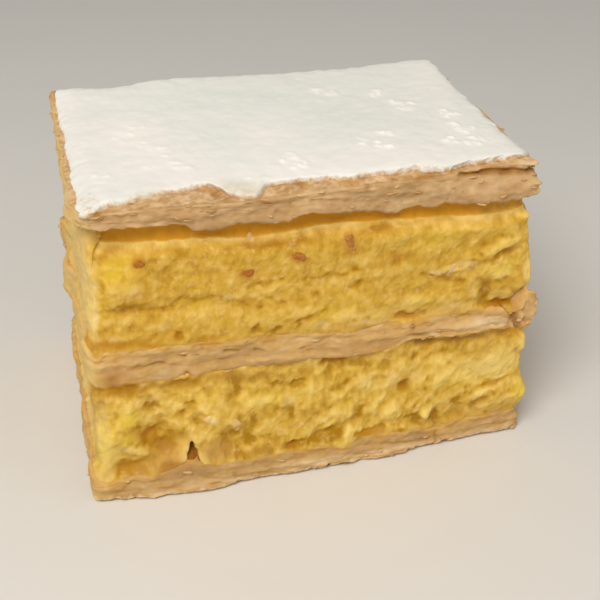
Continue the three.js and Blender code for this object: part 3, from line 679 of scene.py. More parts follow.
# Painted light on the left end: how much paler it is, by the height that the camera sees, and away from the
# front.
CREAM_SHARE = ((8, 0.4), (21, 0.4), (25, 0.1), (29, 0.1), (36, 0.1), (39, 0.2), (43, 0.9), (50, 1.1))
CREAM_BEHIND = 0.8
CORNER_X = -42.0  # the front's left corner is cut back from here
CORNER_CUT = 0.28  # how far for each millimetre beyond it
PIT_DEPTH = 0.38  # depth of a pit or seam of amount 1
DALE_DEPTH = 0.5  # depth of a broad soft hollow of amount 1
SWELL_HEIGHT = 0.6  # height of a raised part of amount 1
LIP = 0.9  # height of the upper custard's lit top edge
# The recess above that edge: inset, and share of the way up to the sheet.
LEDGE = (
    (0.1, 0.03), (0.3, 0.08), (0.55, 0.14), (0.75, 0.26), (0.85, 0.5), (0.85, 0.75), (0.75, 1),
)
SHIFTS_AT = 30  # the height at which the shifts' x is seen
# How far the line where two layers meet lies from the line of the solids, along the front.
SEAM_SHIFTS = {
    "base": (
        (-46, -2.2), (-42, -2.4), (-39, -1.4), (-34.6, -0.8), (-32, 0.4), (-30, 1.3), (-28, 2.2),
        (-26, 2), (-24.4, 1.2), (-22, 0.6), (-20, 0.4), (-14, 0.2), (0, -0.3), (3, -0.7), (5.2, -1.5),
        (7, -1), (8.4, 0.2), (14, 0.2), (18, -0.4), (22, -0.6), (25, -1.8), (28, -1.4), (31, -1),
        (35, -0.8), (44, -0.6),
    ),
    "middle_low": (
        (-46, -1.3), (-42, -1), (-36, -0.6), (-30, -0.5), (-27, -0.1), (-24, -0.6), (-19, -0.2),
        (-14, 0.3), (-4, -0.3), (8, -0.3), (16, -0.1), (18, 1), (20, 1.8), (22, 1.5), (26, 0.9),
        (32, 0.9), (38, 0.9), (41, 0.4), (44, -0.2),
    ),
    "middle_high": (
        (-46, -2.6), (-44, -1.8), (-42, -0.9), (-36, -1), (-30, -0.5), (-25, -0.8), (-18, -0.8),
        (-12, -0.1), (-5, 0), (4, -0.8), (10, -0.8), (15, 0.3), (18, -0.5), (22, 0), (26, 0.7),
        (31, 0.4), (34.6, 0.3), (38, 0.5), (40.4, 0), (42, -1.4), (43, -2.4), (44.4, -2.6), (45, -1.2),
        (45.6, 0.8), (46.2, 2.2), (48, 2.6),
    ),
    "top_low": (
        (-46, 0), (-40, -0.2), (-35, 0.2), (-30, 0.1), (-26, 0.4), (-24.6, 0), (-23.2, -1.4),
        (-20, -1.6), (-17, -1.5), (-15, -0.7), (-12, -1), (-10, -1.5), (-8, -1.7), (-5, -1.3),
        (-2.4, -0.1), (0, -0.2), (3, -0.6), (6, -0.4), (10, -0.6), (11.6, -0.7), (13, -1.3),
        (15.6, -1.5), (17, -0.7), (20, -0.2), (21.4, -0.8), (24, -0.8), (25.4, -0.2), (28, -0.5),
        (30, -0.8), (32, -0.5), (33, -1), (34, -1.1), (35, -0.6), (38, -0.9), (41, -0.6), (45, 0),
    ),
}


def seam_shift(name, seed):
    """The shift of a meeting line at each station, with its fine wander."""
    x, _ = seen(plan.raised(SHIFTS_AT))
    shift = np.interp(x, *zip(*SEAM_SHIFTS[name])) * plan.front
    return shift + layered(plan.level, seed, (0.3, 2.2), (0.16, 0.9))


def end_paleness():
    """How strongly each station takes the painted light of the left end: none at the back."""
    back = ease((plan.way[:, 1] - 0.2) / 0.6)
    return (0.55 + 0.45 * plan.front) * (1 - back)


def tent_depth(points):
    """Depth of the tent-shaped hole near the foot of the lower custard."""
    (x0, z0), (x1, _) = TENT["foot"]
    tip_x, tip_z = TENT["tip"]
    x, z = seen(points)
    x = x + 0.25 * noise(points, 1.2, 90)
    rise = np.clip((z - z0) / (tip_z - z0), -0.3, 1)
    pinch = np.clip(rise, 0, 1) ** 0.55
    left = x0 + (tip_x - x0) * pinch
    right = x1 + (tip_x + 0.5 - x1) * pinch
    inside = np.minimum(x - left, right - x)
    return TENT["deep"] * ease(inside / 0.8 + 0.4) * ease((1 - rise) * 4) * plan.front


def streaks(points, lean, size, seed):
    """Noise drawn out along lines that lean up to the right by so many degrees."""
    c, s = leaning(lean)
    along = (points[..., 0] + points[..., 1]) * c + points[..., 2] * s
    across = points[..., 2] * c - (points[..., 0] + points[..., 1]) * s
    deep = points[..., 0] - points[..., 1]
    return noise(np.stack([along, across, deep], -1), size, seed)


def custard_relief(points, rough, seed):
    """Torn relief of a cut custard face: broad swells, soft lumps, smears along the cut and small curds."""
    wander = warped(points, 3.0, 0.7, seed)
    lumps = layered(wander, seed + 3, (0.5, 5.4), (0.34, 2.6))
    smear = 0.24 * streaks(wander, 36, (4.2, 1.4, 5), seed + 5)
    smear = smear + 0.14 * streaks(wander, 72, (3.0, 1.0, 4), seed + 6)
    upright = ease(0.5 + 2.2 * noise(points, 14.0, seed + 10))
    fibre = upright * streaks(points, 78, (2.6, 0.75, 3), seed + 11)
    fibre = fibre + (1 - upright) * streaks(points, 34, (2.8, 0.75, 3), seed + 12)
    small = 0.17 * (0.35 - np.abs(fibre)) + 0.07 * grains(wander, (1.4, 1.4, 1.2), seed + 7)
    small = small + 0.04 * grains(points, 0.7, seed + 8)
    broad = 0.3 * noise(points, 12.0, seed + 9)
    return rough * (lumps + smear) + small + broad


def custard_side(node, rows, rough, marks, seed, foot_line, head_line, drop):
    """The side of a custard layer with its relief, its rows spread between the two lines it ends at."""
    shares = np.linspace(0, 1, rows)
    side = Side(node, shares, low_inset=1.2, high_inset=3.2, measured=(0.03, 0.97), soften=0.75)
    side.over = side.over - drop
    head = side.over + seam_wander(seed + 60) if head_line is None else head_line + MEET
    t = shares[:, None]
    z = side.heights() + (foot_line - MEET - side.under) * (1 - t) ** 8 + (head - side.over) * t ** 8
    points = side.points(side.reach, z)
    x, front_z = seen(points)
    patchy = rough * (1 + 0.5 * noise(points, 13.0, seed + 20)) * (1 - ovals(x, front_z, marks["calm"]))
    relief = custard_relief(points, patchy, seed)
    x = x + layered(points, seed + 30, (0.8, 2.6), (0.35, 1))
    front_z = front_z + layered(points, seed + 32, (0.7, 2.6), (0.3, 1))
    torn = 0.75 + 0.8 * noise(points, 2.4, seed + 34)
    hollow = np.maximum(ovals(x, front_z, marks["pits"]), seams(x, front_z, marks["seams"], torn))
    hollow = hollow * plan.front * (0.85 + 0.6 * noise(points, 1.4, seed + 36))
    lift, = spots(x, front_z, marks, "swells")
    dale, = spots(x + 0.6 * noise(points, 2.2, seed + 37), front_z, marks, "dales")
    relief = relief - PIT_DEPTH * hollow - DALE_DEPTH * dale + SWELL_HEIGHT * lift
    relief = relief - CORNER_CUT * np.maximum(CORNER_X - x, 0)
    tent = tent_depth(points) if node == "custard_lower" else np.zeros(x.shape)
    relief = relief - tent
    soft = softened(relief, 6, 6)
    near = ease(1.6 - (points[..., 1] - FRONT_Y) / 10)
    shown = np.maximum(plan.front, plan.left * near)
    # Painted light and painted shade: the light marks make the tone paler and the dark marks darker.
    broad = (ovals(x, front_z, marks["light"]) - ovals(x, front_z, marks["dark"])) * shown
    # Painted light on the left end: paler beyond the front's left corner.
    cream = ease((CORNER_X - x + 0.6 * noise(points, 3.0, seed + 38)) / 1.8 + 0.5)
    by_height = np.interp(front_z, *zip(*CREAM_SHARE))
    # Painted shading in the tone: darker in hollows, pits and seams, paler where the custard stands out.
    cavity = 0.5 + 0.75 * (relief - soft) - 0.3 * np.minimum(hollow, 1.1) + 0.1 * lift + broad
    values = {key: ovals(x, front_z, marks[key]) * shown for key in PAINTED}
    values["cavity"] = np.clip(cavity, 0, 1)
    # Painted shade in the broad hollows.
    values["olive"] = dale * (1 - 0.6 * np.minimum(tent, 1))
    values["cream"] = cream * end_paleness() * (CREAM_BEHIND + near * (by_height - CREAM_BEHIND))
    # Painted shade in the tent-shaped hole.
    values["depths"] = np.maximum(values["depths"], np.minimum(tent, 1))
    return side, z, relief, values


def build_custard(name, node, material, rows, rough, marks, seed, droop, below, above):
    """A custard layer between sheets: `below` and `above` are the line and reach where it meets them."""
    upper = above is None
    drop = 0
    if upper:
        front_drop = np.interp(plan.at[:, 0], *zip(*EDGE_DROP))
        front_drop = front_drop + 0.2 * noise(np.column_stack([plan.at, plan.at[:, 0]]), 2.8, seed + 80)
        drop = blurred(OTHER_DROP + (front_drop - OTHER_DROP) * plan.front, 9)
    foot_line, foot_reach = below
    head_line = None if upper else above[0]
    side, z, relief, values = custard_side(node, rows, rough, marks, seed, foot_line, head_line, drop)
    shell = Shell(["cavity"] + [value for value, _, _ in TINGES])
    z = z - droop * relief
    reach = side.reach + relief
    foot_blend = MEET_BLEND * (1 + 1.2 * (not upper) * plan.front)
    reach = reach + meets(z - foot_line, foot_blend) * (foot_reach - reach) - dive(foot_line - z)
    foot = z - foot_line - 0.5 - 0.9 * noise(side.points(reach, z), 2.2, seed + 35)
    values["bread"] = np.maximum(values["bread"], ease(0.5 - foot / 0.9) * (1 - values["gold"]))
    if not upper:
        reach = reach + meets(above[0] - z, MEET_BLEND) * (above[1] - reach) - dive(z - above[0])
    shell.cap(plan.out(reach[0]), CAP_INSETS[::-1], z[0] + 0.1, cavity=0.4)
    if upper:
        lip = (z[-1] - z) / LIP
        # A painted highlight along the front's top edge, in patches: a paler tinge and a lighter tone.
        patches = np.clip(0.75 + 0.9 * noise(side.points(reach, z), 5.0, seed + 81), 0, 1)
        lit = plan.front * np.exp(-lip * lip) * patches
        values["pale"] = np.maximum(values["pale"], 0.45 * lit)
        values["cavity"] = np.clip(values["cavity"] + 0.3 * lit, 0, 1)
        reach = reach + 0.3 * plan.front * np.exp(-lip * lip)
    for k in range(rows):
        shell.ring(plan.out(reach[k]), z[k], **{key: v[k] for key, v in values.items()})
    rim = reach[-1]
    if upper:
        back = (0.45 + 0.55 * plan.front) * (0.3 + 0.7 * ease((plan.at[:, 0] + 45.5) / 3))
        last = {"cream": values["cream"][-1]}
        for inset, share in LEDGE:
            lift = share * (drop + MEET)
            rough_top = 0.1 * noise(np.column_stack([plan.out(rim - inset), z[-1] + lift]), 1.2, seed + 70)
            ring_reach = rim - inset * back + rough_top
            # Painted shade in the recess under the top sheet: amber, and a tone that darkens towards the
            # sheet.
            amber = plan.front * min(1, 12 * share) * (1 - 0.5 * ease((plan.at[:, 0] - 28) / 8))
            shell.ring(plan.out(ring_reach), z[-1] + lift, cavity=0.6 - 0.3 * share, amber=amber, **last)
        rim = rim - LEDGE[-1][0] * back
    shell.cap(plan.out(rim), CAP_INSETS, shell.rings[-1][:, 2], cavity=0.3)
    return shell.build(name, material), side.points(reach, z)


# ---- Pastry ----

LEAF = 0.56  # thickness of one baked leaf
LEAF_APART = 37.7  # each leaf's noise is read this far from the next one's
LEAF_WAVES = ((0.6, 12.0), (0.2, 3.6), (0.1, 1.4))  # how far the leaves wander up and down
CRUMBLY_FROM = 40.8  # the broken corner starts here
FOOT_LIFT = 0.5  # how far the torn foot of the base sheet may lift
EDGE_SHARE = 0.06  # this share of a sheet's height is rounded at each free edge
EDGE_ROUND = 0.3  # how far it is drawn in there
CRUST_SHARE = 0.05  # the share of its height that is browned at the rims
CRUST = 0.6  # how strongly
CRACK_DEPTH = 0.6  # depth of a crack or chip of amount 1
# Marks on each sheet's cut edge, where the camera sees them. Cracks are lines and the others are ovals:
# the broken, crumbly corner, chips, and parts that are white, dim, amber, pale or brown.
SHEET_MARKS = {
    "sheet_base": {
        "crumbly": (),
        # Along the base sheet's foot these are painted light.
        "white": (
            (0.2, 0.7, 1.8, 0.8, 0.9), (14, 0.7, 2.6, 0.8, 0.7), (-19, 0.2, 3, 0.6, 0.6),
            (1, 1.4, 5, 0.8, 0.6), (19.6, 1.4, 4.6, 0.7, 0.7, -3), (36, 1.9, 5, 0.5, 0.7, 2),
            (42.6, 2.6, 1.4, 0.9, 0.6, 40), (-33.4, 0.3, 3, 0.8, 0.5, -8),
        ),
        "dim": (
            (-31, 3.6, 8, 1.3, 0.8), (-10, 3.3, 5, 0.8, 0.6, -2), (13, 3.9, 9, 1.1, 0.5, -2),
            (34, 4.4, 7, 1, 0.5), (0.6, 3.9, 4, 0.8, 0.8), (-8, 4, 7, 0.9, 0.4, -2),
            (22.6, 3.4, 4.4, 1.8, 0.8, -10), (8, 2.4, 6, 0.8, 0.7), (31, 2.4, 5, 0.7, 0.4),
            (-42.6, 1.6, 3, 2, 0.6),
        ),
        "amber": ((-31, 5.6, 3.4, 0.5, 0.5, 18), (8.6, 5.8, 2.4, 0.5, 0.4)),
        "cracks": (
            (((25.3, 4.4), (25.5, 2.6), (25.8, 0.8)), 0.3, 0.8), (((-39.8, 4.6), (-40.6, 3)), 0.4, 0.5),
            (((13.4, 1.6), (13.8, 0.4)), 0.3, 0.4), (((-18.2, 1.8), (-17.6, 0.4)), 0.35, 0.5),
            (((-14, 3.4), (-8, 3), (-2, 2.8), (4, 3)), 0.4, 0.2),
            (((7, 3.6), (12, 3.2), (19, 2.6), (23, 2.2)), 0.4, 0.2),
        ),
        "chips": (
            (-15.1, 5, 0.5, 0.3, 0.6), (-22, 0, 1.6, 0.3, 0.6, -8), (9.6, -0.2, 0.7, 0.4, 0.5),
            (27, 0.4, 0.5, 0.9, 0.6), (-19.6, 4.8, 0.8, 0.4, 0.3), (22.2, -0.2, 0.4, 0.4, 0.5),
            (44.8, 1.8, 1.7, 2.2, 0.6),
        ),
        "pale": (
            (-9, 1.6, 5, 0.8, 0.4, -3), (11, 1.2, 9, 0.6, 0.5, -2), (22, 0.6, 2.6, 0.7, 0.5, -14),
            (-33, -0.4, 3.6, 0.7, 0.5, -12), (-26.4, 1, 3, 1.6, 0.4), (35.4, 2, 7, 0.7, 0.9, 2),
            (-5, 0.6, 1.6, 0.9, 0.4), (26.4, 1.4, 0.5, 1, 0.6), (-3, 1.4, 8, 0.9, 0.7, -2),
            (4, 1.2, 3, 0.9, 0.6), (19.6, 1.3, 5, 0.8, 0.6, -4), (41.6, 2.4, 2, 0.7, 0.7, 14),
        ),
        "brown": (
            (-28, 6.6, 4, 0.8, 0.5, 12), (-24.4, 6.8, 1.6, 0.9, 0.8), (14.6, 5.3, 1.6, 0.4, 0.5),
            (23, 4.6, 2, 1.2, 0.3, -20), (-31, 5.4, 3, 0.5, 0.3, 10),
        ),
    },
    "sheet_middle": {
        "crumbly": ((43.6, 32.4, 3.6, 7, 1),),
        "white": (
            (23.4, 29.2, 1.6, 0.6, 0.5, -30), (17.2, 27.6, 1.4, 0.5, 0.6), (34.6, 30, 5.4, 1.2, 0.5, -2),
            (10, 33.7, 4.4, 0.6, 0.6, -4), (43.2, 34.6, 0.6, 0.7, 0.6), (45.4, 32.4, 0.6, 1.2, 0.8),
            (44.6, 34.8, 0.6, 0.8, 0.7), (45, 30, 0.9, 0.6, 0.6),
        ),
        "dim": (
            (-17, 31.3, 9, 1.2, 0.8, -3), (6, 29.4, 9, 0.9, 0.8, -2), (-30, 32.2, 4, 0.6, 0.4),
            (21, 30.2, 4.6, 0.8, 0.7, -10), (-36, 28.9, 7, 0.7, 0.4), (30, 32.6, 5, 0.5, 0.5, -3),
            (-10, 28.3, 17, 0.8, 0.9, -2), (43.6, 34, 1.8, 3.2, 0.7), (-23, 35, 3, 0.5, 0.4),
            (-33, 30.4, 6, 1, 0.4),
        ),
        "amber": (
            (-41.4, 30.8, 3.4, 1.7, 0.6), (-36, 31.8, 1.8, 0.4, 0.5), (-18, 28, 3.4, 0.5, 0.5),
            (35, 33.4, 2.6, 0.35, 0.7), (-26.2, 28.8, 0.9, 0.8, 0.5), (-21, 35, 3, 0.5, 0.4),
        ),
        "cracks": (
            (((38.6, 33.2), (40.4, 31.8), (41, 29.6), (42.4, 27.4)), 0.45, 1.8),
            (((-36.4, 31.7), (-34.8, 31.6), (-31.8, 32.1), (-30.2, 31.7)), 0.3, 0.55),
            (((-31, 32), (-28.8, 31.2), (-27.6, 30.6)), 0.3, 0.3),
            (((-19, 32.7), (-17.6, 32.5), (-16.4, 32.1)), 0.3, 0.7),
            (((-13, 31.8), (-11.4, 31.4)), 0.3, 0.6), (((-25.6, 31), (-20, 31), (-14, 30.6)), 0.3, 0.2),
            (((-8, 30), (-2, 29.8), (6, 29.6), (15, 29.4)), 0.35, 0.22),
            (((30.4, 33), (33, 33.4), (38, 33.3)), 0.3, 0.45), (((26.6, 32.4), (31, 32)), 0.3, 0.25),
            (((43.2, 35.4), (43, 32), (42.8, 29.4)), 0.4, 0.25), (((18.6, 32.2), (19, 31)), 0.35, 0.4),
        ),
        "chips": (
            (-26.9, 32.9, 0.6, 0.5, 0.8), (-26.2, 29, 0.7, 0.4, 0.8, -30), (-25.9, 28.2, 0.35, 0.8, 0.8),
            (-35.6, 31.7, 1.4, 0.5, 0.5), (-23.2, 34.2, 0.4, 0.8, 0.4), (-3.6, 30.6, 0.6, 0.4, 0.4),
            (20, 29.5, 2.4, 0.6, 0.5, -12), (32.6, 28.6, 1, 0.25, 0.4, -10), (-41, 30, 1.8, 1.2, 0.4),
        ),
        "pale": (
            (34.4, 30.2, 5.2, 1.5, 1, -2), (30, 33.8, 2, 0.4, 0.6, -8), (23.4, 29.2, 1.5, 0.6, 0.6, -30),
            (-31, 30.9, 2.4, 0.6, 0.4, -6), (-35.4, 33, 1.4, 0.5, 0.4), (-20.6, 32.8, 2, 0.4, 0.5),
            (-16, 31.2, 0.7, 0.6, 0.5), (-4, 32.4, 3, 0.4, 0.4, -4), (16.6, 33.2, 1.4, 0.8, 0.4, 30),
            (2.6, 28.2, 4, 0.5, 0.3), (17, 27.6, 1.6, 0.5, 0.5, -10), (43.6, 33.6, 1, 1.8, 0.3, 10),
        ),
        "brown": (
            (-41, 30.6, 3.2, 1.9, 1), (36.6, 33.3, 3.4, 0.6, 0.6, -4), (-22.6, 35.2, 2.6, 0.4, 0.5, -6),
            (18.2, 34.2, 1.4, 0.6, 0.6), (-18, 27.8, 3.2, 0.5, 0.8), (31.6, 32.4, 3.6, 0.6, 0.4),
            (-38, 28.4, 5, 0.6, 0.5), (-24.6, 29.4, 2.6, 0.6, 0.3),
        ),
    },
    "sheet_top": {
        "crumbly": (),
        "white": (
            (39.2, 65, 3, 0.9, 1, -10), (28.6, 65.2, 2, 0.5, 0.6), (43, 59.2, 0.8, 0.6, 0.8),
            (-33, 66.2, 1.4, 0.5, 0.7, -20), (-25.4, 65.4, 1.4, 0.4, 0.6, -30),
            (-42.4, 64.4, 1, 0.8, 0.7),
        ),
        "dim": (
            (-20, 60.7, 8, 0.8, 0.5, -4), (4, 59.3, 8, 0.7, 0.5, -3), (-38, 63, 4, 1.1, 0.5),
            (28, 59.2, 8, 0.8, 0.6, -3), (-12, 63, 8, 1.2, 0.45, -4), (10, 61.6, 8, 0.7, 0.3, -3),
            (-10, 59.6, 4, 0.6, 0.6, -4), (-18.4, 65.4, 3.4, 0.9, 1, -6), (-6, 65.6, 3, 0.8, 0.9),
            (-28, 64.8, 4, 0.7, 0.4), (-22, 61.6, 12, 1.6, 0.5, -4), (-10, 60.4, 8, 0.8, 0.5, -4),
        ),
        "amber": (
            (29.6, 64.1, 3.4, 0.42, 1, 2), (35.4, 63.8, 3.6, 0.45, 1, -5), (19, 64.6, 3.4, 0.6, 0.7),
            (24, 64.6, 1, 0.3, 0.7), (-25.2, 67.4, 1.4, 0.7, 0.7), (-22.4, 67.2, 0.8, 0.5, 0.6),
            (-19.4, 66.2, 1.8, 0.5, 0.7, -14), (-5.4, 66, 2.2, 0.7, 0.5), (-38.6, 65, 2, 0.6, 0.4, 20),
            (-10.4, 66, 0.8, 0.6, 0.4), (-44, 70, 0.8, 3, 0.3),
        ),
        "cracks": (
            (((26.2, 64), (28.6, 63.9), (31, 64.1), (33.6, 63.7), (36.6, 63.4), (40, 63.2)), 0.5, 1.6),
            (((18, 64.1), (21.2, 64)), 0.3, 0.7), (((23, 65.1), (24.4, 64.9)), 0.3, 0.9),
            (((25.8, 64.9), (25.9, 63.8)), 0.25, 0.7),
            (((-15, 63.9), (-12, 63.3), (-9.8, 62.5)), 0.4, 0.6),
            (((-27, 66), (-29, 65.4), (-31.6, 65.3)), 0.25, 0.6),
            (((-20.2, 65.5), (-18.4, 65)), 0.3, 0.9), (((-37, 63.6), (-33.6, 63.1)), 0.3, 0.3),
            (((-8.6, 61.2), (-6.6, 60.7)), 0.3, 0.5), (((8, 61.6), (13, 61.2), (20, 61)), 0.35, 0.25),
            (((-2, 62.2), (5, 61.6)), 0.35, 0.25),
        ),
        "chips": (
            (40.8, 63.6, 1.2, 0.5, 2, -30), (-25, 66.2, 0.8, 0.4, 0.9), (-40, 64.3, 0.5, 0.8, 0.6),
            (2, 64.5, 0.4, 0.7, 0.6), (8.4, 63.4, 0.5, 0.4, 0.5), (-39, 63.2, 0.9, 0.6, 0.4),
            (-13.6, 63.1, 0.7, 0.4, 0.6), (-7, 60.8, 0.9, 0.4, 0.5), (-11.2, 65, 0.3, 0.5, 0.5),
            (11, 59.6, 1, 0.6, 0.4),
        ),
        "pale": (
            (-29.6, 61, 1, 0.6, 0.7), (-20, 59.3, 2.4, 0.5, 0.6, -4), (15, 59.2, 1.6, 1.4, 0.6, -40),
            (22.6, 58.8, 1.6, 0.5, 0.6), (33.4, 57.4, 1, 0.7, 0.7), (9.2, 63.2, 0.6, 0.5, 0.7),
            (14.2, 63.4, 1.2, 0.4, 0.6, -10), (13, 60.6, 1.2, 0.4, 0.5, -10),
            (-10, 59.6, 1.4, 0.5, 0.5, -30), (-8, 59, 1.2, 0.4, 0.5), (36, 61.8, 4, 0.8, 0.4, -8),
            (-36.4, 64.6, 1.6, 0.3, 0.5), (-5, 63.6, 3, 0.5, 0.4), (-28.6, 63.4, 0.6, 0.5, 0.5, 40),
            (-22.4, 62.6, 2, 0.4, 0.3),
        ),
        "brown": (
            (19.6, 65.1, 3.4, 0.8, 0.8), (-6, 65.6, 2.4, 0.6, 0.8), (-39.4, 63.8, 1.6, 0.8, 0.4),
            (-4, 65, 4, 0.5, 0.4), (33.4, 65, 2.6, 0.5, 0.6, -8), (6, 59.4, 3, 0.6, 0.4),
            (-2, 60.4, 1.6, 0.4, 0.5), (28, 59.4, 3, 0.5, 0.4, -4), (-20.6, 60.6, 2.4, 0.5, 0.5),
        ),
    },
}
# Notches in the front's foot: x, half width and height.
FOOT_NOTCHES = (
    (-37.2, 0.9, 0.3), (-17.2, 0.9, 0.6), (-2, 0.7, 0.6), (2, 0.5, 0.9), (5.6, 1.4, 0.9), (16.8, 1, 0.4),
    (19.6, 0.4, 0.7), (21.2, 0.5, 0.6), (25.2, 0.4, 0.8), (27.9, 0.9, 0.9), (31, 1.2, 0.4),
    (36.6, 1.4, 0.4),
)


def pastry_relief(points, under, over, seed):
    """Relief of a cut pastry edge: leaves of uneven reach with fine gaps between them."""
    depth = points[..., 2] - under
    wave = layered(points * (1, 1, 0.35), seed, *LEAF_WAVES)
    count = np.round((over - under) / LEAF)
    pile = (depth + wave) / (over - under) * count
    leaf = np.floor(pile)
    across = pile - leaf
    own = points * (1, 1, 0)
    own[..., 2] = leaf * LEAF_APART
    reach = layered(own, seed + 5, (0.12, (4.5, 4.5, 1)), (0.1, (1.4, 1.4, 1)))
    gap = 0.26 * np.clip(noise(own, (2.4, 2.4, 1), seed + 7) - 0.12, 0, 0.7)
    round_edge = np.abs(2 * across - 1) ** 3
    crumb = 0.08 * grains(points, (1.3, 1.3, 0.7), seed + 8) + 0.02 * noise(points, 0.5, seed + 9)
    broad = 0.2 * noise(points, (2.6, 2.6, 1.5), seed + 10) + 0.2 * noise(points, (8, 8, 3), seed + 12)
    relief = reach - gap * round_edge + crumb + broad
    shade = layered(own, seed + 13, (0.14, (6, 6, 1)), (0.06, (1.8, 1.8, 1)))
    # Painted light and shade in the tone: leaves that reach out are lighter and the gaps between them darker,
    # over each leaf's own tone.
    ridge = 0.58 + 0.4 * reach - 0.9 * gap * round_edge + 0.6 * crumb + 0.2 * broad + shade
    tint = 0.5 + 0.5 * noise(own, (9, 9, 1), seed + 11)
    return relief, ridge, tint


def foot_notches(x):
    """How far the notches lift the foot of the front at each station."""
    return sum(high * np.exp(-((x - at) / wide) ** 4) for at, wide, high in FOOT_NOTCHES) * plan.front


def ragged(seed, low, high, size):
    """A torn line: a distance from the edge that jumps about between two limits."""
    v = 0.5 + layered(plan.level, seed, (0.7, size), (0.35, size / 3))
    return low + (high - low) * np.clip(v, 0, 1)


def near_custard(points, gap, limit, seed):
    """1 where the custard beyond an edge has stained the pastry, fading with the gap to that edge."""
    ragged_limit = limit + 1.6 * noise(points * (1, 1, 0.5), 4.0, seed) + 0.5 * noise(points, 1.4, seed + 1)
    return ease(0.5 - (gap - ragged_limit) / 1.3)


def sheet_lines(name, side, x, seed):
    """The heights at which a sheet's side ends below and above, round the ring."""
    if name == "sheet_base":
        low = np.maximum(FOOT_LIFT * ragged(seed + 70, 0, 1, 1.8), foot_notches(x[0]))
        high = seam_shift("base", 80)
    elif name == "sheet_middle":
        low = seam_shift("middle_low", 90)
        high = seam_shift("middle_high", 80)
    else:
        low = seam_wander(seed + 50) * 0.8 + seam_shift("top_low", 96)
        high = 0.1 * seam_wander(seed + 60)
    return side.under + low, side.over + high


def build_sheet(name, node, material, rows, seed, top_rings):
    """One pastry sheet. Also gives the lines and reaches where custard meets it."""
    at_foot = name == "sheet_base"
    runs_under = name == "sheet_middle"
    runs_over = not top_rings
    shares = np.linspace(0, 1, rows)
    side = Side(node, shares, low_inset=1.1, high_inset=1.1, measured=(0.04, 0.96), soften=0.55)
    z = side.heights()
    points = side.points(side.reach, z)
    relief, ridge, tint = pastry_relief(points, side.under, side.over, seed)
    x, front_z = seen(points)
    marks = SHEET_MARKS[name]
    crumbly = ovals(x, front_z, marks["crumbly"]) * ease((x - CRUMBLY_FROM) / 0.6)
    crumb = grains(warped(points, 1.5, 0.4, seed + 20), (0.9, 0.9, 1.3), seed + 21)
    crumb = crumb + 0.5 * noise(points, 0.8, seed + 22)
    relief = relief + crumbly * (0.6 * crumb - relief)
    ridge = ridge + crumbly * (0.6 + 0.4 * crumb - ridge)
    t = shares[:, None]
    edge_round = (not runs_under) * np.clip(EDGE_SHARE - t, 0, 1)
    edge_round = edge_round + (not runs_over) * np.clip(t - 1 + EDGE_SHARE, 0, 1)
    x_torn = x + 0.3 * noise(points, 1.4, seed + 30)
    z_torn = front_z + 0.2 * noise(points, 1.4, seed + 31)
    torn = 0.9 + 0.5 * noise(points, 2.0, seed + 32)
    crack = seams(x_torn, z_torn, marks["cracks"], torn) * plan.front
    chip, white, brown, amber = spots(x_torn, z_torn, marks, "chips", "white", "brown", "amber")
    pale, = spots(x, front_z, marks, "pale")
    dim, = spots(x_torn + 1.5 * noise(points, (4, 4, 1.2), seed + 44), z_torn, marks, "dim")
    broken = np.maximum(crack, chip)
    relief = softened(relief, 0.6, 1.1) - CRACK_DEPTH * broken
    reach = side.reach + relief - EDGE_ROUND * edge_round / EDGE_SHARE
    if top_rings:
        reach = reach + ovals(x, front_z, LEAF_TIPS)
    low_line, high_line = sheet_lines(name, side, x, seed)
    z = z + (low_line - side.under - MEET * runs_under) * (1 - t) ** 3
    z = z + (high_line - side.over + MEET * runs_over) * t ** 3 - 0.12 * relief
    below = (low_line, reach[1])
    above = (high_line, reach[-2])
    smeared = np.zeros(z.shape)
    if runs_over:
        smeared = near_custard(points, high_line - z, 0.5, seed + 75)
        reach = reach - dive(z - high_line)
    if runs_under:
        smeared = np.maximum(smeared, 0.9 * near_custard(points, z - low_line, 0.1, seed + 78))
        reach = reach - dive(low_line - z)
    # Painted shade: cracks and chips are darker in tone.
    ridge = softened(np.clip(ridge - 0.6 * broken + 0.34 * pale, 0, 1), 0.8, 1.4)
    # White marks, and on the base sheet a painted light: a pale band along its foot.
    flour = white
    if at_foot:
        fray = 0.5 * noise(points, 3.0, seed + 40) + 0.7 * noise(points, (1.0, 1.0, 3.0), seed + 42)
        flour = np.maximum(white, 0.9 * ease((0.9 - z + fray) / 0.6 + 0.5))
    # Painted light on the left end, as on the custard.
    cream = ease((CORNER_X - 0.8 - x + 1.4 * noise(points, 3.0, seed + 41)) / 2.4 + 0.5) * end_paleness()
    cream = cream * (0.3 if at_foot else 0.9)
    shell = Shell(("ridge", "tint", "crust", "smear", "cream", "flour", "amber", "dim"))
    if at_foot:
        z = np.maximum(z, 0)
    foot_z = 0 if at_foot else z[0] + 0.05
    shell.cap(plan.out(reach[0]), FOOT_INSETS, foot_z, ridge=0.5, tint=0.5, crust=0.8)
    for k in range(rows):
        rim = max(0, 1 - min(shares[k], 1 - shares[k]) / CRUST_SHARE)
        crust = np.maximum(brown[k], CRUST * rim)
        crust = crust * (1 - 0.6 * smeared[k])
        shell.ring(plan.out(reach[k]), z[k], ridge=ridge[k], tint=tint[k], crust=crust, smear=smeared[k],
                   cream=cream[k], flour=flour[k], amber=amber[k], dim=dim[k])
    top = plan.out(reach[-1])
    if top_rings:
        cover_top(shell, side, top, z[-1], seed, top_rings, marks)
    else:
        shell.cap(top, CAP_INSETS, z[-1], ridge=0.5, tint=0.5, crust=0.3)
    piece = shell.build(name, material)
    return piece, reach, z, below, above


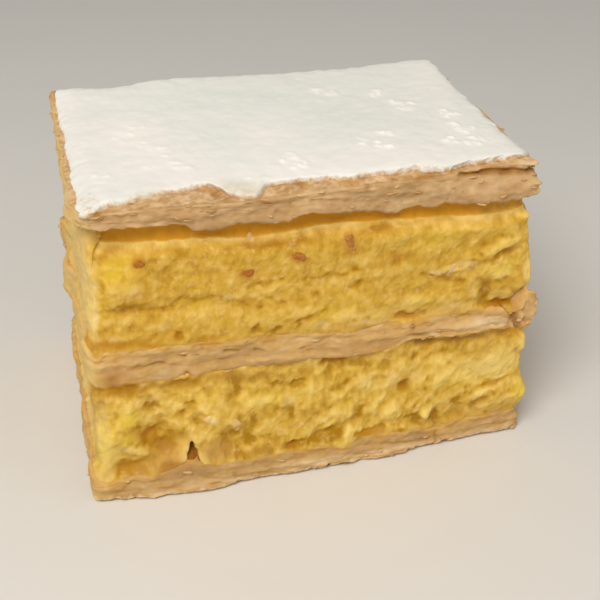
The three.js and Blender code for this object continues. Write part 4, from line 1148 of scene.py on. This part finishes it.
# Pale leaves that stand out of the top sheet's right end, as ovals; the amount is in millimetres.
LEAF_TIPS = ((40.4, 65, 2.4, 0.7, 1.3, -8), (42, 60.6, 1, 0.4, 0.7), (43, 58.9, 1, 0.4, 0.7))
TOP_RING_STEP = 0.38
LEAF_STEP = 0.2  # height of the step where the top leaf is torn away


def cover_top(shell, side, edge, edge_z, seed, rings, marks):
    """The browned top of the sheet: torn leaf edges in a strip round the rim."""
    torn = ragged(seed + 80, 0.2, 0.8 + 3.4 * plan.front, 3.2)
    second = torn + ragged(seed + 84, 0.5, 2.6, 4.0)
    for k in range(1, rings + 1):
        inset = TOP_RING_STEP * k
        xy = plan.drawn_in(edge, inset)
        level = side.solid.ring_height(xy, sign=1, blur=2)
        here = np.column_stack([xy, level])
        blend = ease(inset / 1.2)
        z = edge_z * (1 - blend) + level * blend
        lip = 0
        for line, step in ((torn, LEAF_STEP), (second, LEAF_STEP / 2)):
            z = z - step * (1 - ease((inset - line) / 0.35 + 0.5)) * ease(inset / 0.5)
            lip = lip + np.exp(-((inset - line) / 0.4) ** 2)
        bubble = 0.12 * noise(here, 2.4, seed + 90) + 0.09 * grains(here, (1.1, 1.1, 0.8), seed + 91)
        # Raised bubbles are lighter in tone, as painted light, and the torn leaf edges are lighter too.
        ridge = np.clip(0.55 + 0.8 * bubble + 0.15 * lip, 0, 1)
        dust = ease(0.3 + layered(here, seed + 92, (1.1, 1.5), (0.8, 0.8)))
        toast = ease(layered(here, seed + 94, (1.6, 2.2), (0.5, 0.9)))
        white, amber, dim = spots(*seen(here), marks, "white", "amber", "dim")
        flour = np.maximum(0.7 * dust, white)
        amber = np.maximum(0.6 * toast, amber) * (1 - white)
        ridge = ridge * (1 - 0.5 * dim)
        crust = 0.75 - 0.3 * lip
        shell.ring(xy, z + bubble, ridge=ridge, tint=0.5, crust=crust, flour=flour, amber=amber)
    inner = TOP_RING_STEP * rings
    for inset in (inner + 2.5, inner + 6, inner + 12):
        xy = plan.drawn_in(edge, inset)
        shell.ring(xy, side.solid.ring_height(xy, sign=1, blur=3), ridge=0.5, tint=0.5, crust=1.0)


# ---- Icing sugar ----

SUGAR_GRID = (250, 175)
SUGAR_THIN = 0.12  # thickness near its edge
SUGAR_TUCK = 0.45  # how far the very edge dips into the torn top leaf
RIM_CELLS = 9  # rows of its grid beside the right end and the back
RIM_DIP = 0.15  # how far it may sink over them
# Clusters of clumps in the sugar: x, y, radius and height.
SUGAR_CLUMPS = (
    (11.9, 17.6, 2, 0.5), (14.6, 15, 1.4, 0.4), (24.4, 13.1, 2.2, 0.55), (27.3, 2.7, 2.2, 0.5),
    (26, 6, 1.6, 0.4), (34.4, -2, 2.2, 0.5), (33.2, -9.4, 2.4, 0.55), (18.9, -9.9, 2, 0.6),
    (16.1, -14.8, 1.8, 0.6), (13.5, -12.1, 1.4, 0.5), (29.3, -16.7, 2.4, 0.5), (34.2, -17.4, 2.2, 0.5),
    (35.2, -12.5, 2, 0.5), (-2.4, -15.4, 1.8, 0.45), (-1.2, -18.5, 1.6, 0.45), (-12.4, -23.3, 3, 0.35),
    (-32, 4, 4, 0.25), (-27, -3, 4, 0.25), (-25, -13, 4, 0.3), (-38, -16, 4, 0.25),
)
SMEARS_IN_CLUSTER = 6
SMEAR_LEAN = -62.0  # degrees in plan; the smears lie more or less along one direction
# Broad cool, darker areas and warm, brighter areas of the sugar in plan: painted shade and painted light.
SUGAR_COOL = ((-6, 17, 22, 9, 1, -6), (12, 2, 8, 9, 0.8), (-14, 0, 7, 7, 0.6), (24, 20, 12, 5, 0.5))
SUGAR_WARM = (
    (-32, 2, 8, 9, 0.9), (-27, -13, 10, 7, 0.8), (10, -20, 26, 5, 0.7), (-4, -4, 5, 4, 0.7),
    (38, 16, 5, 9, 0.6),
)
# Where the camera sees the sugar lie so thin that the sheet shows through.
SUGAR_SHEER = ((-15, 65.8, 4.6, 1.6, 0.9, -14), (-31, 67.4, 4, 0.7, 0.4, 8))


# How much further back the sugar's front edge lies, along the front as the camera sees it.
SUGAR_EDGE_SHIFTS = (
    (-46, 0), (-36, 0.5), (-31, 0.2), (-28, 1.2), (-26, 1.8), (-22, 1.9), (-20, 1.6), (-18.5, 1.2),
    (-16, 0.3), (-12, 0.2), (-10.5, 1.6), (-9, 1.6), (-5, 0.5), (0, 0.4), (4, 0.9), (8, 0.3), (14, 0.3),
    (18, 0.4), (21, 0.8), (24, 1.4), (27, 0.7), (33, 0.8), (38, 0.9), (46, 0.9),
)


def sugar_edge(icing, sheet):
    """Plan points of the sugar's edge, found by stepping in from outside the sheet."""
    rim = plan.out(np.full(plan.count, 1.0))
    found = np.full(plan.count, np.nan)
    for inset in np.arange(0, 12, 0.12):
        xy = plan.drawn_in(rim, inset)
        missing = np.isnan(found)
        hit = ~np.isnan(icing.upright(xy[missing], 1))
        places = np.flatnonzero(missing)[hit]
        found[places] = inset
        if not np.isnan(found).any():
            break
    found = blurred(filled(found[None])[0], 2)
    x, _ = seen(plan.raised(sheet.high))
    found = found + np.interp(x, *zip(*SUGAR_EDGE_SHIFTS)) * plan.front
    corner = np.hypot(plan.at[:, 0] - 45.0, plan.at[:, 1] + 27.0) / 7.0
    found = found + layered(plan.level, 700, (0.35, 2.6), (0.16, 0.9)) - 1.4 * np.exp(-corner ** 2)
    found = found + 0.1 * (1 - np.maximum(plan.front, plan.left))
    return plan.drawn_in(rim, found[:, None])


def side_curves(edge):
    """The closed edge cut into front, right, back and left curves, sampled for the grid."""
    starts = np.cumsum((0,) + SIDE_SAMPLES)
    closed = np.vstack([edge, edge[:1]])
    curves = []
    for side in range(4):
        part = closed[starts[side]: starts[side + 1] + 1]
        count = SUGAR_GRID[side % 2]
        at = np.linspace(0, len(part) - 1, count)
        curves.append(np.column_stack([np.interp(at, range(len(part)), part[:, i]) for i in (0, 1)]))
    return curves[0], curves[1], curves[2][::-1], curves[3][::-1]


def sugar_grid(edge):
    """Plan points of a grid that fits the edge on all four sides."""
    front, right, back, left = side_curves(edge)
    u = np.linspace(0, 1, SUGAR_GRID[0])[None, :, None]
    v = np.linspace(0, 1, SUGAR_GRID[1])[:, None, None]
    across = (1 - v) * front[None] + v * back[None]
    along = (1 - u) * left[:, None] + u * right[:, None]
    corners = (1 - u) * (1 - v) * front[0] + u * (1 - v) * front[-1]
    corners = corners + (1 - u) * v * back[0] + u * v * back[-1]
    return across + along - corners


def clump_field(points, rng):
    """0..1 where the sugar is clumped: short smears in clusters."""
    x, y = points[..., 0], points[..., 1]
    smears = []
    for at_x, at_y, radius, high in SUGAR_CLUMPS:
        for _ in range(SMEARS_IN_CLUSTER):
            dx, dy = rng.normal(0, 0.5 * radius, 2)
            lean = SMEAR_LEAN + rng.normal(0, 20)
            amount = high * rng.uniform(0.5, 1.1)
            long, wide = rng.uniform(0.7, 1.4), rng.uniform(0.4, 0.65)
            smears.append((at_x + dx, at_y + dy, long, wide, amount, lean))
    return ovals(x, y, smears)


def build_sugar(material):
    icing = Solid("icing_sugar")
    sheet = Solid("pastry_top")
    xy = sugar_grid(sugar_edge(icing, sheet))
    rows, columns = xy.shape[:2]
    below = filled(sheet.upright(xy, 1))
    above = icing.upright(xy, 1)
    above = np.where(np.isnan(above), below + 0.9, above)
    for axis in (0, 1):
        below = blurred(below, 3, axis, False)
        above = blurred(above, 4, axis, False)
    # The rounded edge of the solid must not draw the sugar down at the right end and the back.
    for lines in (below.T, below):
        lines[-RIM_CELLS:] = np.maximum(lines[-RIM_CELLS:], lines[-RIM_CELLS - 1] - RIM_DIP)
    width, depth = 2 * plan.half
    u = np.linspace(0, 1, columns)[None]
    v = np.linspace(0, 1, rows)[:, None]
    away = np.minimum(np.minimum(u, 1 - u) * width, np.minimum(v, 1 - v) * depth)
    points = np.concatenate([xy, above[..., None]], -1)
    away = away * (1 + 0.5 * noise(points, 2.0, 710))
    thick = (above - below) * (1 - np.exp(-away / 1.1)) + SUGAR_THIN
    thick = thick - SUGAR_TUCK * np.exp(-(away / 0.6) ** 2)
    soft = layered(points, 711, (0.1, 3.2), (0.05, 1.5), (0.02, 0.8))
    lumps = clump_field(warped(points, 1.4, 0.3, 714), np.random.default_rng(31))
    lumps = lumps * (0.6 + 0.45 * noise(points, 0.9, 719))
    z = below + thick + (soft + lumps) * ease(away / 0.8)
    border = np.ones(z.shape, bool)
    border[1:-1, 1:-1] = False
    z[border] = below[border] - SUGAR_TUCK
    near_front = (0.55 + 0.45 * ease(4 - v * depth / 2)) * (0.4 + 0.6 * ease((xy[..., 0] + 43.5) / 2.5))
    x, y = xy[..., 0], xy[..., 1]
    # Painted shade and painted light over the sugar's top.
    veil = 0.5 + 0.5 * ovals(x, y, SUGAR_WARM) - 0.5 * ovals(x, y, SUGAR_COOL)
    grid = np.concatenate([xy, z[..., None]], -1).reshape(-1, 3)
    index = np.arange(rows * columns).reshape(rows, columns)
    quads = np.stack([index[:-1, :-1], index[:-1, 1:], index[1:, 1:], index[1:, :-1]], -1).reshape(-1, 4)
    rim = np.concatenate([index[0, :-1], index[:-1, -1], index[-1, :0:-1], index[:0:-1, 0]])
    middle = [[plan.mid[0], plan.mid[1], sheet.high - 3.5]]
    fan = np.column_stack([np.full(len(rim), len(grid)), np.roll(rim, -1), rim])
    fields = {
        "thin": np.exp(-away / 2.2) * near_front,
        "sheer": ovals(*seen(points), SUGAR_SHEER),
        # Clumps painted brighter: a painted highlight.
        "clump": np.clip(lumps * 2.6, 0, 1),
        "veil": veil,
    }
    values = {key: np.append(field, 0) for key, field in fields.items()}
    return make_object("icing_sugar_dusting", np.vstack([grid, middle]), quads, fan, material, values)


# ---- Small loose things: crumbs, flakes and grains ----

BALL_CUTS = 3


def ball():
    """Points and faces of a small ball."""
    mesh = bmesh.new()
    bmesh.ops.create_icosphere(mesh, subdivisions=BALL_CUTS, radius=1)
    points = np.array([v.co for v in mesh.verts])
    faces = np.array([[v.index for v in f.verts] for f in mesh.faces])
    mesh.free()
    return points, faces


# Crumbs on the cut front, where the camera sees them: x, z, half width, half height, lean and paleness.
CRUMBS = (
    (-14, 48.9, 1.15, 0.95, 10, 0.1), (-4.4, 50.9, 1.5, 0.85, -28, 0.15), (5.3, 53, 0.85, 1.5, 5, 0.2),
    (6.3, 51.2, 0.6, 0.5, 0, 0.3), (10.2, 54.7, 0.6, 0.35, 0, 0.3), (-13.5, 57.6, 0.6, 1.2, 4, 0.7),
    (22.4, 43.7, 1, 0.45, -8, 0.75), (24.4, 43.6, 0.6, 0.4, 0, 0.65), (26.2, 44.2, 0.5, 1.1, -28, 0.75),
    (27.8, 44.5, 0.6, 0.4, -20, 0.65), (29.8, 44.5, 0.9, 0.45, -30, 0.6),
    (-17.8, 44.3, 1.2, 0.4, -8, 0.7), (-22.5, 16.8, 1.2, 0.85, 0, 0.9), (-17.6, 15, 1.2, 0.6, -40, 0.8),
    (-17.2, 13.5, 0.6, 0.5, 0, 0.7), (17.8, 34.9, 1.3, 0.5, -14, 0.2), (20.8, 34.8, 0.7, 0.35, -20, 0.3),
    (-33.8, 53.5, 1, 1.3, -30, 0.12),
)


def crumbs(rng, *grids):
    """Crumbs sunk half into the custard, each a lumpy ball at its spot on the cut front."""
    points = np.vstack([grid.reshape(-1, 3) for grid in grids])
    points = points[points[:, 1] < plan.mid[1]]
    x, z = seen(points)
    shapes, shades = [], []
    for crumb_x, crumb_z, wide, high, lean, shade in CRUMBS:
        at = points[np.argmin((x - crumb_x) ** 2 + (z - crumb_z) ** 2)]
        form, faces = ball()
        lumps = 1 + 0.35 * noise(form + rng.uniform(0, 90, 3), 0.9, 60)
        form = form * lumps[:, None] * (wide, 0.3 * min(wide, high), high)
        c, s = leaning(lean)
        form = form @ np.array([[c, 0, s], [0, 1, 0], [-s, 0, c]])
        shapes.append((at + form + (0, 0.08, 0), faces))
        shades.append(shade)
    return shapes, shades


def joined(name, shapes, material, shades):
    """One object from many (points, faces), each with its shade."""
    points = np.vstack([p for p, _ in shapes])
    starts = np.cumsum([0] + [len(p) for p, _ in shapes[:-1]])
    faces = np.vstack([f + start for (_, f), start in zip(shapes, starts)])
    shade = np.concatenate([np.full(len(p), v) for (p, _), v in zip(shapes, shades)])
    return make_object(name, points, np.zeros((0, 4), int), faces, material, {"shade": shade})


FLAKE_CORNERS = 9


def flake_shape(rng, length, width, thick):
    """A thin torn plate with a slight curl, lying in XY with its outer edge towards +Y."""
    count = FLAKE_CORNERS
    angle = np.arange(count) * 2 * math.pi / count + rng.uniform(-0.2, 0.2, count)
    radius = rng.uniform(0.7, 1.15, count)
    rim = np.column_stack([np.cos(angle) * radius * length / 2, np.sin(angle) * radius * width / 2])
    flat = np.vstack([rim, [[0, 0]]])
    curl = rng.uniform(-0.12, 0.25) * (flat[:, 1] / width) ** 2 * width + rng.normal(0, 0.03, count + 1)
    top = np.column_stack([flat, curl + thick / 2])
    low = np.column_stack([flat, curl - thick / 2])
    low[-1, 2] = top[-1, 2] - thick
    here = np.arange(count)
    turn = (here + 1) % count
    middle = np.full(count, count)
    step = count + 1
    faces = np.vstack([
        np.column_stack([here, turn, middle]),
        np.column_stack([turn + step, here + step, middle + step]),
        np.column_stack([here, here + step, turn + step]),
        np.column_stack([here, turn + step, turn]),
    ])
    return np.vstack([top, low]), faces


def placed(points, at, way, along, tilt, roll):
    """Points put at a spot of the side: X along the edge, Y outwards and Z up, tilted and rolled."""
    out = np.array([*way, 0.0])
    side = np.array([*along, 0.0])
    out_tilted = out * math.cos(tilt) + UP * math.sin(tilt)
    up_tilted = UP * math.cos(tilt) - out * math.sin(tilt)
    side_rolled = side * math.cos(roll) + up_tilted * math.sin(roll)
    up_rolled = up_tilted * math.cos(roll) - side * math.sin(roll)
    return at + points @ np.array([side_rolled, out_tilted, up_rolled])


def sheet_flakes(rng, reach, z, stations, count, longest, shapes, shades):
    """Flakes that stand out of a sheet's edge, more of them along its lower and upper rims."""
    rows = len(z)
    for _ in range(count):
        station = rng.integers(*stations) % plan.count
        row = int(np.clip(rng.beta(0.7, 0.7) * rows, 2, rows - 3))
        length = rng.uniform(0.7, longest)
        width = length * rng.uniform(0.4, 0.8)
        points, faces = flake_shape(rng, length, width, rng.uniform(0.08, 0.16))
        inside = width * rng.uniform(0.1, 0.35)
        xy = plan.out(reach[row] - inside)[station]
        at = np.array([*xy, z[row][station]])
        tilt = rng.normal(0, 0.25)
        points = placed(points, at, plan.way[station], plan.along[station], tilt, rng.normal(0, 0.18))
        shapes.append((points, faces))
        shades.append(rng.uniform(0.25, 1.0))


# ---- Materials ----

def display(r, g, b):
    """The linear colour of 0..255 display values, with its alpha."""
    shares = (r / 255, g / 255, b / 255)
    return (*(c / 12.92 if c <= 0.04045 else ((c + 0.055) / 1.055) ** 2.4 for c in shares), 1)


class Look:
    """A small builder for a material's nodes. Colours are given as 0..255 display values."""

    def __init__(self, name):
        self.material = bpy.data.materials.new(name)
        self.material.use_nodes = True
        self.tree = self.material.node_tree
        self.shader = self.tree.nodes["Principled BSDF"]
        self.place = self.add("ShaderNodeTexCoord", {}).outputs["Object"]

    def add(self, kind, inputs, **settings):
        """A new node with its settings and inputs."""
        node = self.tree.nodes.new(kind)
        for key, value in settings.items():
            setattr(node, key, value)
        self.feed(node, inputs)
        return node

    def feed(self, node, inputs):
        """Gives each input its value: another node's output, a colour as a tuple, a number or a list."""
        for key, value in inputs.items():
            if isinstance(value, bpy.types.NodeSocket):
                self.tree.links.new(value, node.inputs[key])
            elif isinstance(value, tuple):
                node.inputs[key].default_value = display(*value)
            else:
                node.inputs[key].default_value = value

    def noise(self, size_mm, detail=3.0, rough=0.55, stretch=(1, 1, 1)):
        """Noise of 0..1 with lumps of about size_mm."""
        squeeze = [1 / s for s in stretch]
        place = self.add("ShaderNodeMapping", {"Vector": self.place, "Scale": squeeze}).outputs[0]
        pattern = {"Vector": place, "Scale": 1 / (size_mm * MM), "Detail": detail, "Roughness": rough}
        return self.add("ShaderNodeTexNoise", pattern).outputs["Fac"]

    def value(self, name):
        """A value that the mesh holds at each vertex."""
        return self.add("ShaderNodeAttribute", {}, attribute_name=name).outputs["Fac"]

    def ramp(self, fac, *stops):
        """A colour ramp: stops of (place, colour)."""
        node = self.add("ShaderNodeValToRGB", {0: fac})
        band = node.color_ramp
        while len(band.elements) < len(stops):
            band.elements.new(0.5)
        for element, (place, colour) in zip(band.elements, stops):
            element.position = place
            element.color = display(*colour)
        return node.outputs[0]

    def maths(self, kind, a, b):
        return self.add("ShaderNodeMath", {0: a, 1: b}, operation=kind).outputs[0]

    def span(self, value, low, high, out_low=0.0, out_high=1.0):
        """A value's range from low to high, stretched to another range and held at its ends."""
        ranges = {"From Min": low, "From Max": high, "To Min": out_low, "To Max": out_high}
        return self.add("ShaderNodeMapRange", {"Value": value, **ranges}).outputs[0]

    def mix(self, fac, a, b):
        """Two colours mixed: sockets 6 and 7 of the node, and its output 2, are the ones for colours."""
        return self.add("ShaderNodeMix", {0: fac, 6: a, 7: b}, data_type="RGBA").outputs[2]

    def varied(self, tone, *swings):
        """A tone that each (noise, amount) moves by so much either way."""
        for pattern, amount in swings:
            tone = self.maths("ADD", tone, self.span(pattern, 0.3, 0.7, -amount, amount))
        return tone

    def tinged(self, colour, tinges):
        """A colour with others laid over it: the mesh value that places each, its strength and colour."""
        for name, strength, tinge in tinges:
            colour = self.mix(self.maths("MULTIPLY", self.value(name), strength), colour, tinge)
        return colour

    def bump(self, height, distance_mm, strength):
        relief = {"Height": height, "Distance": distance_mm * MM, "Strength": strength}
        self.feed(self.shader, {"Normal": self.add("ShaderNodeBump", relief).outputs[0]})

    def finish(self, colour, roughness, depth_mm=0.0, spread=(1, 0.6, 0.3), scatter=0.0, specular=0.5):
        """Light enters to about depth_mm, by share `scatter`, and `spread` of it in red, green and blue."""
        self.feed(self.shader, {
            "Base Color": colour,
            "Roughness": roughness,
            "Specular IOR Level": specular,
            "Subsurface Weight": scatter,
            "Subsurface Radius": list(spread),
            "Subsurface Scale": depth_mm * MM,
        })
        return self.material


def custard_look(name, pale, middle, deep, patchy):
    """Set custard: paler where it stands out and deep and saturated in its hollows, as painted light and
    shade.
    """
    look = Look(name)
    tone = look.span(look.value("cavity"), 0.15, 0.85)
    tone = look.varied(tone, (look.noise(2.0, 4, 0.6), 0.16), (look.noise(8, 3, 0.5), patchy))
    colour = look.ramp(tone, (0.05, deep), (0.5, middle), (0.95, pale))
    # Pale flecks, partly painted glints.
    flecks = look.span(look.noise(1.3, 3, 0.5), 0.55, 0.72, 0, 0.4)
    colour = look.tinged(look.mix(flecks, colour, (242, 206, 136)), TINGES)
    look.bump(look.maths("ADD", look.noise(0.5, 3, 0.6), look.noise(1.2, 2)), distance_mm=0.1, strength=0.28)
    wet = look.span(look.noise(2.6, 3), 0.35, 0.65, 0.5, 0.75)
    return look.finish(colour, wet, depth_mm=1.2, spread=(1.0, 0.62, 0.2), scatter=0.3, specular=0.22)


def pastry_look(name, stain, cut_middle):
    """Baked leaves, cut across: matt and pale, brown where the crust shows, stained by the custard, with
    painted light and shade in the tone.
    """
    look = Look(name)
    speck = look.noise(0.9, 4, 0.6, (1.5, 1.5, 1))
    broad = look.noise(6, 3)
    blotch = look.noise(1.8, 3, 0.6, (1.8, 1.8, 1))
    tone = look.varied(look.span(look.value("ridge"), 0.1, 1.0), (speck, 0.07), (broad, 0.1), (blotch, 0.13))
    cut = look.ramp(tone, (0.0, (150, 108, 54)), (0.5, cut_middle), (1.0, (232, 204, 158)))
    cut = look.mix(look.span(look.value("tint"), 0.2, 0.9, 0, 0.3), cut, (214, 166, 112))
    cut = look.mix(look.span(broad, 0.5, 0.8, 0, stain), cut, (214, 156, 76))
    baked = look.ramp(tone, (0.0, (140, 92, 42)), (0.5, (190, 148, 98)), (1.0, (226, 192, 144)))
    colour = look.mix(look.value("crust"), cut, baked)
    ashen = look.span(look.noise(1.4, 3, 0.6, (1.6, 1.6, 1)), 0.52, 0.7, 0, 0.35)
    colour = look.mix(ashen, colour, (206, 170, 134))
    stained = look.ramp(tone, (0.0, (166, 108, 34)), (0.5, (208, 159, 78)), (1.0, (232, 192, 122)))
    colour = look.tinged(colour, (
        ("smear", 0.75, stained),
        ("dim", 0.6, (166, 126, 78)),
        # Sugar dust, and painted light along the base sheet's foot.
        ("flour", 0.75, (238, 208, 166)),
        # Painted light on the left end.
        ("cream", 1, (226, 197, 126)),
        ("amber", 0.85, (180, 122, 38)),
    ))
    look.bump(look.maths("ADD", look.noise(0.45, 3, 0.6), speck), distance_mm=0.1, strength=0.2)
    return look.finish(colour, 0.85, depth_mm=0.8, spread=(1.0, 0.6, 0.35), scatter=0.1, specular=0.2)


def sugar_look(name):
    look = Look(name)
    # Painted shade and light: cooler and darker in the painted shade, warmer and brighter in the painted
    # light.
    veil = look.varied(look.value("veil"), (look.noise(3.0, 3, 0.5), 0.2))
    colour = look.mix(veil, (227, 230, 224), (242, 238, 232))
    # A painted highlight on the clumps.
    colour = look.mix(look.value("clump"), colour, (253, 250, 242))
    patches = look.span(look.noise(1.6, 3, 0.5), 0.3, 0.7, 0.4, 1.0)
    sheer = look.maths("MULTIPLY", look.value("sheer"), patches)
    colour = look.mix(sheer, colour, (214, 199, 172))
    bare = look.maths("MULTIPLY", look.value("thin"), look.span(look.noise(1.0, 4, 0.65), 0.3, 0.7, 0.3, 1.8))
    colour = look.mix(look.span(bare, 0.45, 1.2), colour, (208, 174, 126))
    look.bump(look.noise(0.3, 3, 0.7), distance_mm=0.08, strength=0.3)
    return look.finish(colour, 0.95, depth_mm=0.7, spread=(1, 0.9, 0.75), scatter=0.15, specular=0.15)


def crumb_look(name, dark, light):
    look = Look(name)
    tone = look.varied(look.value("shade"), (look.noise(0.6, 3), 0.12))
    colour = look.ramp(tone, (0.1, dark), (0.9, light))
    look.bump(look.noise(0.3, 3, 0.7), distance_mm=0.08, strength=0.3)
    return look.finish(colour, 0.7, depth_mm=0.8, spread=(1.0, 0.5, 0.25), scatter=0.15, specular=0.3)


def floor_look():
    look = Look("pale_floor")
    colour = look.mix(look.noise(60, 3), (222, 220, 216), (226, 224, 220))
    return look.finish(colour, 0.7)


# ---- Floor and light ----

FLOOR_HALF_M = 1.6
FLOOR_Z_M = -0.0002


def make_floor():
    mesh = bpy.data.meshes.new("floor")
    e, z = FLOOR_HALF_M, FLOOR_Z_M
    mesh.from_pydata([(-e, -e, z), (e, -e, z), (e, e, z), (-e, e, z)], [], [(0, 1, 2, 3)])
    mesh.materials.append(floor_look())
    put("floor", mesh)


LIGHT_AIM = Vector((0, 0, 0.03))
ROOM_COLOUR = (1.0, 0.97, 0.92, 1)
ROOM_STRENGTH = 0.34


def area_light(name, at, size, watts, colour):
    data = bpy.data.lights.new(name, "AREA")
    data.shape = "DISK"
    data.size = size
    data.energy = watts
    data.color = colour
    turn = (Vector(at) - LIGHT_AIM).to_track_quat("Z", "Y")
    put(name, data).matrix_world = Matrix.Translation(at) @ turn.to_matrix().to_4x4()


def make_light():
    world = bpy.data.worlds.new("soft_room")
    world.use_nodes = True
    room = world.node_tree.nodes["Background"].inputs
    room["Color"].default_value = ROOM_COLOUR
    room["Strength"].default_value = ROOM_STRENGTH
    bpy.context.scene.world = world
    area_light("key", (-0.25, -0.33, 0.54), size=0.36, watts=3.2, colour=(1.0, 0.95, 0.88))
    area_light("fill", (0.4, -0.4, 0.4), size=0.6, watts=0.5, colour=(1.0, 0.96, 0.9))
    bpy.context.scene.view_settings.view_transform = "Standard"
    bpy.context.scene.view_settings.look = "None"


# ---- Assembly ----

def attach(piece, slot, *nodes):
    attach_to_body(piece, "root")
    if nodes:
        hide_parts(*nodes)


def build_sheets():
    """The three pastry sheets and their flakes, and where each sheet meets what is below and above it."""
    base_look = pastry_look("pastry_base_cut", 0.3, (193, 155, 92))
    middle_look = pastry_look("pastry_middle_cut", 0.4, (204, 164, 98))
    top_look = pastry_look("pastry_top_cut", 0.1, (196, 160, 112))
    # Name, solid, look, rows, seed, rings over the top and number of flakes.
    sheets = (
        ("sheet_base", "pastry_base", base_look, 50, 1000, 0, 90),
        ("sheet_middle", "pastry_middle", middle_look, 56, 1200, 0, 80),
        ("sheet_top", "pastry_top", top_look, 48, 1400, 24, 130),
    )
    rng = np.random.default_rng(5)
    edges = {}
    right_corner = (SIDE_SAMPLES[0] - 8, SIDE_SAMPLES[0] + 14)
    for name, node, look, rows, seed, top_rings, flakes in sheets:
        piece, reach, z, below, above = build_sheet(name, node, look, rows, seed, top_rings)
        attach(piece, "baked_pastry", node)
        shapes, shades = [], []
        for stations, count, longest in (((0, plan.count), flakes, 2.4), (right_corner, flakes // 25, 3.0)):
            sheet_flakes(rng, reach, z, stations, count, longest, shapes, shades)
        look = crumb_look(name + "_flake", (190, 148, 94), (216, 178, 126))
        attach(joined(name + "_flakes", shapes, look, shades), "baked_pastry")
        edges[name] = (below, above)
    return edges


def build_custards(edges):
    """Both custard layers and the crumbs on their cut fronts."""
    tones = ((236, 199, 104), (210, 167, 60), (174, 123, 4))
    upper = custard_look("custard_upper_cut", *tones, 0.09)
    tones = ((240, 208, 116), (216, 175, 70), (174, 127, 4))
    lower = custard_look("custard_lower_cut", *tones, 0.18)
    base, middle = edges["sheet_base"], edges["sheet_middle"]
    piece, low_points = build_custard(
        "custard_lower_face", "custard_lower", lower, rows=74, rough=0.85, marks=LOWER, seed=2000,
        droop=0.3, below=base[1], above=middle[0])
    attach(piece, "set_custard", "custard_lower")
    piece, high_points = build_custard(
        "custard_upper_face", "custard_upper", upper, rows=80, rough=0.44, marks=UPPER, seed=2200,
        droop=0.2, below=middle[1], above=None)
    attach(piece, "set_custard", "custard_upper")
    shapes, shades = crumbs(np.random.default_rng(8), low_points, high_points)
    look = crumb_look("crumb_baked", (172, 104, 22), (236, 200, 136))
    attach(joined("pastry_crumbs", shapes, look, shades), "baked_pastry")


make_camera()
make_floor()
make_light()
build_custards(build_sheets())
attach(build_sugar(sugar_look("icing_sugar_powder")), "icing_sugar", "icing_sugar")
